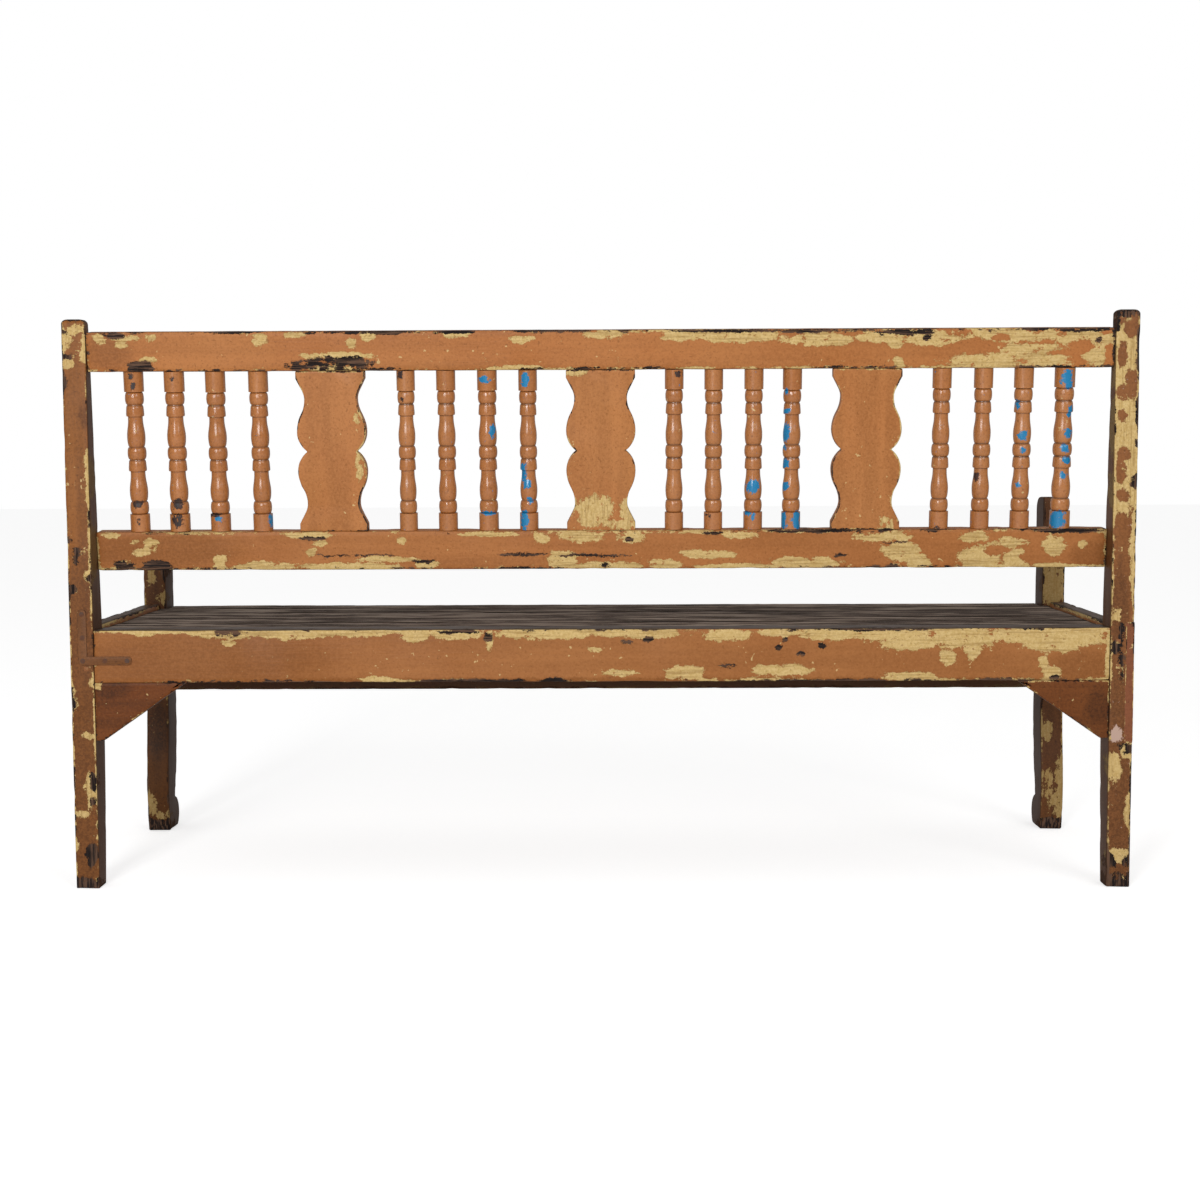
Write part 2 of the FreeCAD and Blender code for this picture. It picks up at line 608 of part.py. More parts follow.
def front_seat_rail():
    """Return the deep apron between the front legs."""
    x_pair = (-FRONT_INNER_X, FRONT_INNER_X)
    rail = block(x_pair, (FRONT_RAIL_BACK, FRONT_RAIL_FRONT), (FRONT_RAIL_BOTTOM, SLAT_UNDERSIDE))
    rail = eased(rail, SEAT_RAIL_ARRIS, [(FRONT_RAIL_FRONT, FRONT_RAIL_BOTTOM)])
    rail = joined([rail, front_rail_tenon(LEFT).solid(), front_rail_tenon(RIGHT).solid()])
    _, front_pegs = peg_solids(JOINT_CLEARANCE)
    return carved(rail, bearer_tongues(JOINT_CLEARANCE) + front_pegs)


def side_seat_rail(side):
    """Return a side rail, whose upper edge stands a little above the slats."""
    x_pair = (side * SIDE_INNER_X, side * SIDE_OUTER_X)
    y_pair = (REAR_LEG_SEAT_DEPTH, SEAT_SETBACK)
    rail = block(x_pair, y_pair, (REAR_RAIL_BOTTOM, SEAT_HEIGHT + SIDE_RAIL_LIP))
    return joined([rail, side_rail_tenon(side, -1).solid(), side_rail_tenon(side, 1).solid()])


def cross_bearer(step):
    """Return one bearer under the slats, tongued into the rear and front rails."""
    x = step * BEARER_PITCH
    x_pair = (x - BEARER_WIDTH / 2, x + BEARER_WIDTH / 2)
    y_pair = (REAR_LEG_SEAT_DEPTH - BEARER_TONGUE, FRONT_RAIL_BACK + BEARER_TONGUE)
    return block(x_pair, y_pair, (SLAT_UNDERSIDE - BEARER_HEIGHT, SLAT_UNDERSIDE))


def slat_cleat(side):
    """Return the strip on a side rail's inner face that carries the ends of the slats."""
    x_pair = (side * (SIDE_INNER_X - CLEAT_SIZE), side * SIDE_INNER_X)
    return block(x_pair, (REAR_LEG_SEAT_DEPTH, SEAT_SETBACK),
                 (SLAT_UNDERSIDE - CLEAT_SIZE, SLAT_UNDERSIDE))


# Seat slats

def slat_backs():
    """Return the back edge of every slat; the first is ripped to fill what the others leave."""
    backs = []
    y = REAR_LEG_SEAT_DEPTH + SLAT_GAP
    for width in ALL_SLAT_WIDTHS:
        backs.append(y)
        y += width + SLAT_GAP
    return backs


def seat_slat(index):
    """Return one lengthwise slat, notched round the front legs where it meets them."""
    back = slat_backs()[index]
    front = back + ALL_SLAT_WIDTHS[index]
    reach = SIDE_INNER_X - SLAT_END_GAP
    slat = block((-reach, reach), (back, front), (SLAT_UNDERSIDE, SEAT_HEIGHT))
    slat = eased(slat, SLAT_ARRIS, [(back, SEAT_HEIGHT), (front, SEAT_HEIGHT)])
    notches = []
    for side in (LEFT, RIGHT):
        x_pair = (side * (FRONT_INNER_X - SLAT_END_GAP), side * FRONT_OUTER_X)
        notches.append(block(x_pair, (SEAT_SETBACK - SLAT_END_GAP, BENCH_DEPTH),
                             (SLAT_UNDERSIDE, SEAT_HEIGHT)))
    return carved(slat, notches)


# Brackets, corner iron and leg repair

def bracket(side):
    """Return the triangular bracket under the rear rail, blunt at its lower tip."""
    inner = REAR_INNER_X
    top = REAR_RAIL_BOTTOM
    corners = [Vector(side * inner, 0, top), Vector(side * (inner - BRACKET_REACH), 0, top),
               Vector(side * (inner - BRACKET_TIP), 0, top - BRACKET_DROP),
               Vector(side * inner, 0, top - BRACKET_DROP)]
    board = Part.Face(Part.makePolygon(corners + corners[:1])).extrude(Vector(0, BRACKET_THICKNESS, 0))
    board.translate(Vector(0, BRACKET_BACK_SET, 0))
    return carved(board, bracket_nails(JOINT_CLEARANCE))


def bracket_nails(spare):
    """Return the nails driven up through the sloping edge of each bracket into the rear rail."""
    slope = math.atan2(BRACKET_DROP, BRACKET_REACH - BRACKET_TIP)
    nails = []
    for side in (LEFT, RIGHT):
        for share in (0.3, 0.62):
            x = REAR_INNER_X - BRACKET_REACH + share * (BRACKET_REACH - BRACKET_TIP)
            z = REAR_RAIL_BOTTOM - share * BRACKET_DROP
            head = Vector(side * x, BRACKET_BACK_SET + BRACKET_THICKNESS / 2, z)
            heading = Vector(side * math.sin(slope), 0, math.cos(slope))
            half = BRACKET_NAIL_SIZE / 2 + spare
            nail = Part.makeBox(2 * half, 2 * half, BRACKET_NAIL_LENGTH + spare, Vector(-half, -half, 0))
            nail.Placement = FreeCAD.Placement(head, FreeCAD.Rotation(Vector(0, 0, 1), heading))
            nails.append(nail)
    return nails


def flat_bar(x_pair, z_pair):
    """Return a flat iron bar on the back of the leg with round ends."""
    bar = block(x_pair, (-IRON_THICKNESS, 0), z_pair)
    corners = [edge for edge in bar.Edges if edge.BoundBox.YLength > IRON_THICKNESS / 2]
    return bar.makeFillet(IRON_CORNER_ROUND, corners)


def corner_iron():
    """Return the flat L-shaped iron across the joint of the left leg and the rear rail."""
    x = -HALF_LENGTH + IRON_SIDE_SET
    z = IRON_FOOT_HEIGHT
    upright = flat_bar((x, x + IRON_WIDTH), (z, z + IRON_RISE))
    arm = flat_bar((x, x + IRON_REACH), (z, z + IRON_WIDTH))
    return joined([upright, arm])


def splice_solid(spare):
    """Return the let-in repair with sloping ends, grown by spare for its recess."""
    deep = SPLICE_DEPTH + spare
    corners = [Vector(0, 0, SPLICE_LOW), Vector(0, deep, SPLICE_LOW + SPLICE_SLOPE_RUN),
               Vector(0, deep, SPLICE_HIGH - SPLICE_SLOPE_RUN), Vector(0, 0, SPLICE_HIGH)]
    patch = Part.Face(Part.makePolygon(corners + corners[:1]))
    patch = patch.extrude(Vector(SPLICE_WIDTH + spare, 0, 0))
    patch.translate(Vector(HALF_LENGTH - SPLICE_WIDTH - spare, 0, 0))
    return patch


# Assembly

def assembly():
    """Return every node's name with its solids."""
    rear_pegs, front_pegs = peg_solids(0)
    parts = {
        "rear_leg_left": [rear_leg(LEFT, REAR_LEG_HEIGHT)],
        "rear_leg_right": [rear_leg(RIGHT, REAR_LEG_HEIGHT + RIGHT_LEG_EXTRA)
                           .cut(splice_solid(JOINT_CLEARANCE))],
        "leg_repair_splice": [splice_solid(0)],
        "front_leg_left": [front_leg(LEFT, ARM_POST_HEIGHT_LEFT)],
        "front_leg_right": [front_leg(RIGHT, ARM_POST_HEIGHT_RIGHT)],
        "top_rail": [back_rail(0, TOP_RAIL_HEIGHT, top_rail_tenon)],
        "lower_back_rail": [back_rail(LOWER_RAIL_TOP_DROP, LOWER_RAIL_BOTTOM_DROP, lower_rail_tenon)],
        "rear_seat_rail": [rear_seat_rail()],
        "front_seat_rail": [front_seat_rail()],
        "side_seat_rail_left": [side_seat_rail(LEFT)],
        "side_seat_rail_right": [side_seat_rail(RIGHT)],
        "slat_cleat_left": [slat_cleat(LEFT)],
        "slat_cleat_right": [slat_cleat(RIGHT)],
        "bracket_left": [bracket(LEFT)],
        "bracket_right": [bracket(RIGHT)],
        "corner_iron": [corner_iron()],
        "bracket_nails": bracket_nails(0),
        "joint_pegs": rear_pegs + front_pegs,
    }
    for number, x in enumerate(spindle_centres(), 1):
        parts[f"spindle_{number:02d}"] = [spindle(x)]
    for index in range(len(ALL_SLAT_WIDTHS)):
        parts[f"seat_slat_{index + 1}"] = [seat_slat(index)]
    for name, step, x in zip(("left", "centre", "right"), (-1, 0, 1), splat_centres()):
        parts[f"cross_bearer_{name}"] = [cross_bearer(step)]
        parts[f"splat_{name}"] = [splat(x)]
    return parts


def write_parts():
    """Move the bench to its origin and write one file for each node."""
    os.makedirs("parts", exist_ok=True)
    for name, solids in sorted(assembly().items()):
        shape = Part.makeCompound([solid for piece in solids for solid in piece.Solids])
        shape.translate(Vector(0, -CENTRE_SHIFT, 0))
        if len(shape.Solids) == 1:
            shape = shape.Solids[0]
        if not shape.isValid():
            raise ValueError(f"{name} is not a valid solid")
        shape.exportStep(os.path.join("parts", f"{name}.step"))
        print(f"{name}: {len(shape.Solids)} solid(s), {shape.Volume / 1000:.1f} cm3")


write_parts()
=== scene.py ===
"""Deacon's bench in worn paint, seen from behind: turned spindles and shaped splats over a slatted seat.

Metres, in the bench's own frame: X along the bench, Y from its back to its front, Z up.
Each sub-assembly is a class that holds its sizes, builds its pieces and dresses them.
"""

import logging
import math
from dataclasses import dataclass, replace
from enum import Enum

import bmesh
import bpy
from bmesh.types import BMesh
from bpy.types import Material, NodeTree
from bpy.types import NodeSocket as Socket
from mathutils import Matrix, Vector, noise


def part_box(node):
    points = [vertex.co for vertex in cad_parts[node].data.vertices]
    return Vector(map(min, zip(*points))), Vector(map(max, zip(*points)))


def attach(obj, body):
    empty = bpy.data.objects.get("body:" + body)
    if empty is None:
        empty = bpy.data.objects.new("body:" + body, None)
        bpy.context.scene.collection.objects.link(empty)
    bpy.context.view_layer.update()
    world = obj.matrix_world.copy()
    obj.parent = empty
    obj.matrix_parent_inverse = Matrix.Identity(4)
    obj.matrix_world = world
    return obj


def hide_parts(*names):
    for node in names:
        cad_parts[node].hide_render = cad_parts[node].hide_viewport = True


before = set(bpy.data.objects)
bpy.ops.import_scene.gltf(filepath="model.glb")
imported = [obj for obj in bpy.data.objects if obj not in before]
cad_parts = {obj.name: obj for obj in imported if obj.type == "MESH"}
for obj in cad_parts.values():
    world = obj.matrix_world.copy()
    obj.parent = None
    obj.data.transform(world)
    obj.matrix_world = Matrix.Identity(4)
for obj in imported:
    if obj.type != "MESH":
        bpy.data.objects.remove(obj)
LOG = logging.getLogger("bench")

Colour = tuple[float, float, float, float]
Pair = tuple[float, float]
Triple = tuple[float, float, float]
Paints = dict[str, Material]
Feed = Socket | float | tuple

BACK_RAKE = math.radians(5.4)
SHARP_ANGLE = math.radians(38)
ARRIS = "arris"
HOLLOW = "hollow"
OUTLINE_STEP = 0.014
BOARD_STEP = 0.016
BOARD_BAND = 0.009
CLOSE = 0.0005
MERGED = 0.00002
COARSE_KNOCKS = 21
FINE_KNOCKS = 95
RING_MARGIN = 0.0004
FLAKE_DRAW = 0.6

BACK_PLANE = -0.2818
TOP_RAIL_PLANE = -0.279
TURNING_PLANE = -0.262
LOWER_RAIL_PLANE = -0.246
FRONT_LEG_PLANE = 0.2122
TO_RIGHT = (1.0, 0.0, 0.0)
TO_LEFT = (-1.0, 0.0, 0.0)
TO_BACK = (0.0, -1.0, 0.0)

TERRACOTTA: Colour = (0.410, 0.142, 0.036, 1)
TERRACOTTA_PALE: Colour = (0.465, 0.180, 0.052, 1)
TERRACOTTA_DEEP: Colour = (0.210, 0.070, 0.014, 1)
OCHRE: Colour = (0.520, 0.345, 0.120, 1)
OCHRE_PALE: Colour = (0.640, 0.460, 0.200, 1)
OCHRE_DEEP: Colour = (0.300, 0.170, 0.050, 1)
BARE_WOOD: Colour = (0.014, 0.009, 0.008, 1)
BARE_WOOD_PALE: Colour = (0.125, 0.068, 0.042, 1)
BOARD_GREY: Colour = (0.100, 0.074, 0.058, 1)
BLUE: Colour = (0.004, 0.190, 0.400, 1)
FILLER: Colour = (0.500, 0.340, 0.270, 1)
# Grime and painted shade laid into the spindles' grooves and hollows.
GROOVE_GRIME_AND_SHADE: Colour = (0.045, 0.018, 0.007, 1)
# Painted shade: the deep brown laid on the sides of pieces that turn away from the light.
SHADED_SIDE_BROWN: Colour = (0.062, 0.025, 0.010, 1)


class Layer(Enum):
    """What a listed place shows: a worn layer, overpaint, filler and painted shade are all kinds."""

    OCHRE = "ochre"
    WOOD = "wood"
    BLUE = "blue"
    FILLER = "filler"
    # Painted shade: the coat darkened to its deep colour where shade falls, at rail ends and undersides, low
    # on the posts and under the seat rail.
    SOIL = "soil"
    KEPT = "kept"


class Run(Enum):
    """Which way a piece's grain runs, as the stretch of the grain pattern along X, Y and Z."""

    ALONG = (1.2, 26.0, 26.0)
    ACROSS = (26.0, 1.2, 26.0)
    UPRIGHT = (26.0, 26.0, 1.2)

    @property
    def flow(self) -> tuple[float, ...]:
        """Return the gentler stretch of flakes along the grain."""
        return tuple(FLAKE_DRAW if stretch == min(self.value) else 1.0 for stretch in self.value)


@dataclass(frozen=True)
class PhotoCamera:
    """The photograph's camera, fitted to the bench's corners.

    focal and side are in pixels of the square photograph, angles in radians.
    """

    place: Triple = (0.0361, -3.4432, 0.7651)
    focal: float = 1850.0
    side: float = 1200.0
    yaw: float = 0.0115
    pitch: float = 0.083
    roll: float = -0.0042
    sensor: float = 36.0

    def axes(self) -> tuple[Vector, Vector, Vector]:
        """Return the camera's right, up and forward directions."""
        level = Vector((math.cos(self.yaw), math.sin(self.yaw), 0))
        forward = Vector((-math.sin(self.yaw) * math.cos(self.pitch),
                          math.cos(self.yaw) * math.cos(self.pitch), -math.sin(self.pitch)))
        lift = level.cross(forward)
        right = math.cos(self.roll) * level + math.sin(self.roll) * lift
        up = math.cos(self.roll) * lift - math.sin(self.roll) * level
        return right, up, forward

    def at_depth(self, across: float, down: float, depth: float) -> Vector:
        """Find where a pixel of the photograph lies on the bench.

        Args:
            across: Pixels from the photograph's left edge.
            down: Pixels from its top edge.
            depth: The Y of the upright plane that the pixel shows.

        Returns:
            The point in the bench's frame.
        """
        right, up, forward = self.axes()
        ray = forward * self.focal + right * (across - self.side / 2) - up * (down - self.side / 2)
        start = Vector(self.place)
        return start + ray * ((depth - start.y) / ray.y)

    def build(self) -> None:
        """Make the scene's camera."""
        right, up, forward = self.axes()
        data = bpy.data.cameras.new("camera")
        data.lens = self.focal * self.sensor / self.side
        data.sensor_width = self.sensor
        camera = bpy.data.objects.new("camera", data)
        turn = Matrix((right, up, -forward)).transposed().to_4x4()
        camera.matrix_world = Matrix.Translation(Vector(self.place)) @ turn
        bpy.context.collection.objects.link(camera)
        bpy.context.scene.camera = camera


CAMERA = PhotoCamera()


@dataclass(frozen=True)
class Patch:
    """A worn place and also a place of painted shade, framed by its left, top, right and bottom pixels in
    the photograph.
    """

    layer: Layer
    left: float
    top: float
    right: float
    bottom: float

    def centre(self, depth: float) -> Vector:
        """Return the middle of the place on the plane at this depth."""
        return CAMERA.at_depth((self.left + self.right) / 2, (self.top + self.bottom) / 2, depth)

    def reach(self, depth: float, deep: float) -> Vector:
        """Return how far the place reaches from its middle along X, Y and Z."""
        corner = CAMERA.at_depth(self.right, self.top, depth)
        half = corner - self.centre(depth)
        return Vector((abs(half.x), deep, abs(half.z)))


def places(layer: Layer, *frames: tuple[float, float, float, float]) -> tuple[Patch, ...]:
    """Return one listed place of a layer, such as a worn place and a place of painted shade, for each left,
    top, right and bottom pixel.
    """
    return tuple(Patch(layer, *sides) for sides in frames)


TOP_RAIL_WEAR_AND_SHADE = places(
    Layer.OCHRE, (93, 334, 106, 346), (108, 335, 142, 342), (112, 338, 129, 349), (147, 333, 157, 342),
    (252, 335, 268, 346), (282, 333, 304, 338), (345, 337, 358, 349), (360, 332, 376, 343),
    (136, 357, 160, 364), (298, 352, 376, 360), (308, 365, 338, 372), (440, 331, 472, 338),
    (508, 335, 534, 343), (580, 331, 628, 339), (660, 331, 712, 342), (690, 330, 790, 344),
    (780, 332, 858, 347), (850, 331, 912, 343), (885, 334, 905, 348), (900, 331, 968, 347),
    (950, 329, 1070, 343), (990, 342, 1070, 354), (935, 351, 1085, 367), (1055, 330, 1118, 352),
    (1080, 344, 1112, 366), (892, 356, 907, 367), (505, 364, 540, 369)
) + places(
    Layer.KEPT, (955, 339, 1004, 351), (990, 333, 1012, 342), (1069, 339, 1093, 353), (1104, 345, 1118, 368)
) + places(
    Layer.WOOD, (125, 360, 154, 371), (283, 360, 322, 369), (300, 356, 348, 367), (325, 356, 375, 368),
    (107, 333, 126, 339), (210, 330, 262, 334), (376, 330, 402, 335), (440, 330, 472, 334),
    (515, 329, 585, 333), (680, 329, 780, 333), (780, 329, 835, 333), (866, 330, 936, 336),
    (924, 333, 931, 341), (1095, 336, 1102, 344), (1062, 329, 1102, 332)
# Painted shade at the rail's left end and along its underside.
) + places(Layer.SOIL, (84, 332, 130, 372), (80, 366, 1118, 373))
LOWER_RAIL_WEAR_AND_SHADE = places(
    Layer.OCHRE, (102, 533, 122, 539), (130, 539, 140, 545), (143, 537, 159, 554), (133, 549, 150, 557),
    (213, 554, 227, 569), (236, 561, 300, 570), (290, 562, 402, 570), (304, 548, 318, 557),
    (288, 532, 336, 540), (312, 540, 328, 547), (354, 556, 422, 563), (397, 536, 405, 544),
    (412, 560, 442, 568), (453, 532, 522, 537), (533, 533, 549, 544), (556, 532, 608, 543),
    (613, 532, 646, 543), (545, 549, 578, 568), (570, 561, 645, 570), (645, 558, 682, 569),
    (680, 549, 742, 559), (698, 563, 780, 570), (722, 532, 758, 540), (768, 556, 846, 569),
    (846, 532, 918, 542), (880, 538, 922, 563), (904, 552, 932, 568), (956, 532, 992, 543),
    (956, 545, 1004, 569), (990, 536, 1030, 549), (1002, 547, 1032, 569), (1040, 533, 1067, 557),
    (1077, 539, 1087, 548), (1036, 562, 1067, 568)
) + places(
    Layer.KEPT, (985, 546, 1003, 556), (1020, 553, 1044, 563)
) + places(
    Layer.WOOD, (296, 536, 333, 541), (142, 559, 173, 572), (112, 560, 136, 569), (408, 559, 437, 564),
    (495, 553, 550, 556.5), (555, 553.5, 632, 557.5), (832, 553, 850, 557), (700, 531, 725, 535),
    (624, 536, 633, 542), (600, 562, 612, 568), (889, 563, 899, 568), (310, 554, 400, 556.5),
    (770, 529, 850, 533), (1040, 529, 1100, 533), (882, 541, 912, 543)
# Painted shade at the rail's ends and along its underside.
) + places(Layer.SOIL, (88, 530, 240, 572), (88, 566, 1110, 573), (1070, 540, 1112, 570))
REAR_RAIL_WEAR_AND_SHADE = places(
    Layer.OCHRE, (90, 628, 200, 634), (125, 628, 160, 636), (190, 628, 262, 640), (255, 628, 332, 641),
    (325, 628, 402, 637), (398, 628, 432, 643), (430, 628, 482, 641), (486, 630, 493, 650),
    (495, 628, 594, 640), (594, 628, 684, 639), (703, 629, 752, 642), (758, 629, 802, 637),
    (795, 628, 862, 641), (852, 628, 935, 644), (876, 634, 940, 652), (925, 628, 1000, 650),
    (938, 640, 957, 664), (963, 640, 981, 661), (985, 628, 1060, 645), (1018, 628, 1085, 653),
    (1060, 628, 1110, 647), (222, 640, 236, 647), (1037, 655, 1050, 670), (1040, 665, 1064, 680),
    (664, 663, 706, 680), (598, 669, 640, 677), (752, 663, 815, 676), (875, 671, 936, 681),
    (360, 676, 398, 682), (588, 646, 602, 653), (1105, 640, 1113, 682)
) + places(
    Layer.WOOD, (214, 628, 240, 639), (483, 632, 493, 642), (439, 630, 478, 634), (618, 640, 634, 644),
    (641, 635, 655, 642), (718, 663, 740, 668), (782, 636, 789, 642), (797, 651, 805, 657),
    (774, 644, 783, 651), (817, 642, 825, 649), (540, 677, 565, 683), (840, 628, 925, 631),
    (1048, 674, 1062, 679), (740, 679, 870, 683), (420, 679, 520, 683)
# Painted shade on the seat rail's left part, along its underside and at its right end.
) + places(Layer.SOIL, (84, 628, 330, 690), (84, 676, 1115, 686), (1050, 650, 1115, 684))
LEFT_POST_WEAR_AND_SHADE = places(
    Layer.OCHRE, (59, 325, 71, 354), (66, 324, 84, 336), (62, 357, 74, 369), (80, 335, 86, 362),
    (85, 452, 90, 505), (89, 515, 94, 584), (83, 570, 93, 583), (70, 686, 77, 712), (88, 678, 99, 687),
    (80, 732, 94, 740), (86, 770, 94, 812), (76, 811, 90, 818), (72, 838, 79, 852)
) + places(
    Layer.WOOD, (57, 315, 90, 323), (60, 353, 77, 359), (60, 374, 67, 388), (73, 546, 81, 557),
    (73, 553, 79, 566), (84, 574, 91, 582), (69, 584, 76, 595), (67, 537, 72, 544), (70, 688, 75, 713),
    (90, 771, 97, 793), (89, 796, 96, 806), (87, 843, 97, 869), (66, 876, 106, 892), (63, 330, 69, 334)
# Painted shade in patches on the post, most of it low down towards the floor.
) + places(Layer.SOIL, (79, 403, 89, 431), (58, 640, 110, 960), (78, 604, 88, 619), (60, 560, 100, 700))
RIGHT_POST_WEAR_AND_SHADE = places(
    Layer.OCHRE, (1108, 318, 1144, 400), (1108, 385, 1144, 470), (1108, 450, 1142, 518),
    (1129, 500, 1139, 602), (1112, 606, 1122, 624), (1106, 752, 1123, 780), (1118, 742, 1134, 758),
    (1124, 792, 1132, 828), (1104, 848, 1134, 864)
) + places(
    Layer.KEPT, (1125, 322, 1139, 338), (1117, 342, 1127, 367), (1126, 370, 1139, 390),
    (1112, 386, 1136, 400), (1117, 408, 1127, 422), (1117, 446, 1131, 461), (1113, 460, 1127, 486),
    (1117, 488, 1129, 502)
) + places(
    Layer.WOOD, (1108, 304, 1144, 319), (1112, 316, 1123, 331), (1135, 325, 1142, 380),
    (1135, 398, 1141, 424), (1130, 439, 1140, 448), (1129, 472, 1140, 489), (1117, 623, 1126, 634),
    (1118, 630, 1125, 648), (1111, 640, 1121, 654), (1119, 648, 1125, 684), (1118, 741, 1132, 755),
    (1104, 853, 1116, 872), (1121, 856, 1130, 868), (1096, 870, 1136, 896)
) + places(Layer.FILLER, (1109, 726, 1124, 743)
# Painted shade on the post's lower part, below and beside the seat rail.
) + places(Layer.SOIL, (1096, 640, 1140, 960), (1108, 560, 1130, 660))
SPLAT_WEAR = places(
    Layer.OCHRE, (572, 494, 617, 530), (619, 496, 640, 523), (596, 519, 640, 530), (879, 514, 898, 531),
    (353, 410, 362, 426), (355, 450, 364, 482), (566, 368, 590, 377)
)
TURNING_WEAR = places(
    Layer.BLUE, (214, 516, 221, 522), (268, 512, 272, 529), (480, 376, 490, 384), (489, 424, 496, 440),
    (479, 511, 496, 516), (521, 373, 531, 387), (519, 463, 526, 482), (522, 479, 532, 490),
    (526, 498, 533, 505), (519, 510, 528, 530), (745, 479, 761, 493), (745, 511, 751, 516),
    (752, 512, 757, 521), (784, 388, 789, 395), (784, 408, 791, 414), (781, 422, 789, 442),
    (782, 443, 788, 450), (782, 458, 788, 468), (783, 481, 789, 491), (780, 511, 789, 530),
    (794, 511, 802, 531), (1015, 398, 1020, 409), (1019, 430, 1027, 441), (1020, 446, 1026, 453),
    (1017, 482, 1023, 488), (1060, 370, 1073, 388), (1065, 406, 1072, 419), (1064, 427, 1072, 437),
    (1061, 443, 1070, 453), (1063, 456, 1072, 465), (1061, 470, 1068, 479), (1052, 510, 1067, 530)
) + places(
    Layer.WOOD, (129, 373, 135, 380), (130, 382, 136, 391), (131, 500, 143, 508), (135, 518, 140, 526),
    (170, 376, 177, 383), (171, 498, 182, 510), (170, 512, 180, 530), (206, 512, 220, 518),
    (397, 369, 404, 380), (400, 396, 404, 403), (672, 370, 684, 378), (706, 512, 713, 518),
    (974, 472, 979, 482), (935, 525, 942, 531)
)
FRONT_LEG_WEAR_AND_SHADE = places(
    Layer.OCHRE, (147, 786, 153, 814), (151, 791, 159, 816), (156, 810, 172, 820), (1042, 719, 1053, 743),
    (1041, 766, 1052, 802), (1043, 782, 1067, 818), (1052, 752, 1066, 792), (1040, 560, 1066, 610),
    (146, 565, 156, 585), (158, 590, 168, 606)
) + places(
    Layer.WOOD, (142, 817, 180, 836), (1034, 816, 1068, 832), (160, 560, 170, 580)
# Painted shadow that the bracket and side rail cast on the left front leg.
) + places(Layer.SOIL, (144, 700, 172, 756))
BRACKET_WEAR_AND_SHADE = places(
    Layer.OCHRE, (92, 680, 103, 690), (1035, 672, 1065, 681)
) + places(Layer.WOOD, (92, 678, 180, 681), (1040, 676, 1062, 680)
# Painted shade on the brackets under the seat rail.
) + places(Layer.SOIL, (1085, 690, 1113, 720), (90, 680, 130, 700))


@dataclass(frozen=True)
class Pattern:
    """A noise pattern: its scale, detail and roughness, and the levels cut to 0 and to 1."""

    scale: float
    detail: float
    rough: float
    low: float = 0.0
    high: float = 1.0


CLOUDS = Pattern(4.5, 5.0, 0.6, 0.3, 0.7)
MOTTLE = Pattern(240.0, 3.0, 0.7, 0.32, 0.68)
SPECKS = Pattern(230.0, 2.0, 0.5, 0.63, 0.70)
FLECKS = Pattern(105.0, 3.0, 0.6, 0.85, 0.88)
FLECK_CROWDS = Pattern(8.0, 2.0, 0.5)
FLAKES = Pattern(21.0, 3.0, 0.5)
FLAKE_TEETH = Pattern(78.0, 7.0, 0.78, 2.87, 2.91)
EDGE_STRETCHES = Pattern(7.0, 2.0, 0.5, 0.38, 0.62)
BRUSHED_TEETH = Pattern(140.0, 6.0, 0.75, 1.96, 2.06)
GRAIN_LINES = Pattern(11.0, 4.0, 0.65, 0.3, 0.7)
GRAIN_FIGURE = Pattern(1.7, 3.0, 0.5, 0.28, 0.72)
STREAKS = Pattern(5.0, 3.0, 0.6)
DRIFT = Pattern(42.0, 6.0, 0.85)
DRIFT_REACH = (0.034, 0.004, 0.022)
CHIP_SHIFT = (3.1, 1.7, 5.3)
PLACE_FADE = (0.6, 1.35)
PLAIN_RESULTS = ("LENGTH", "DOT_PRODUCT")
VALUE = "NodeSocketFloat"
VECTOR = "NodeSocketVector"


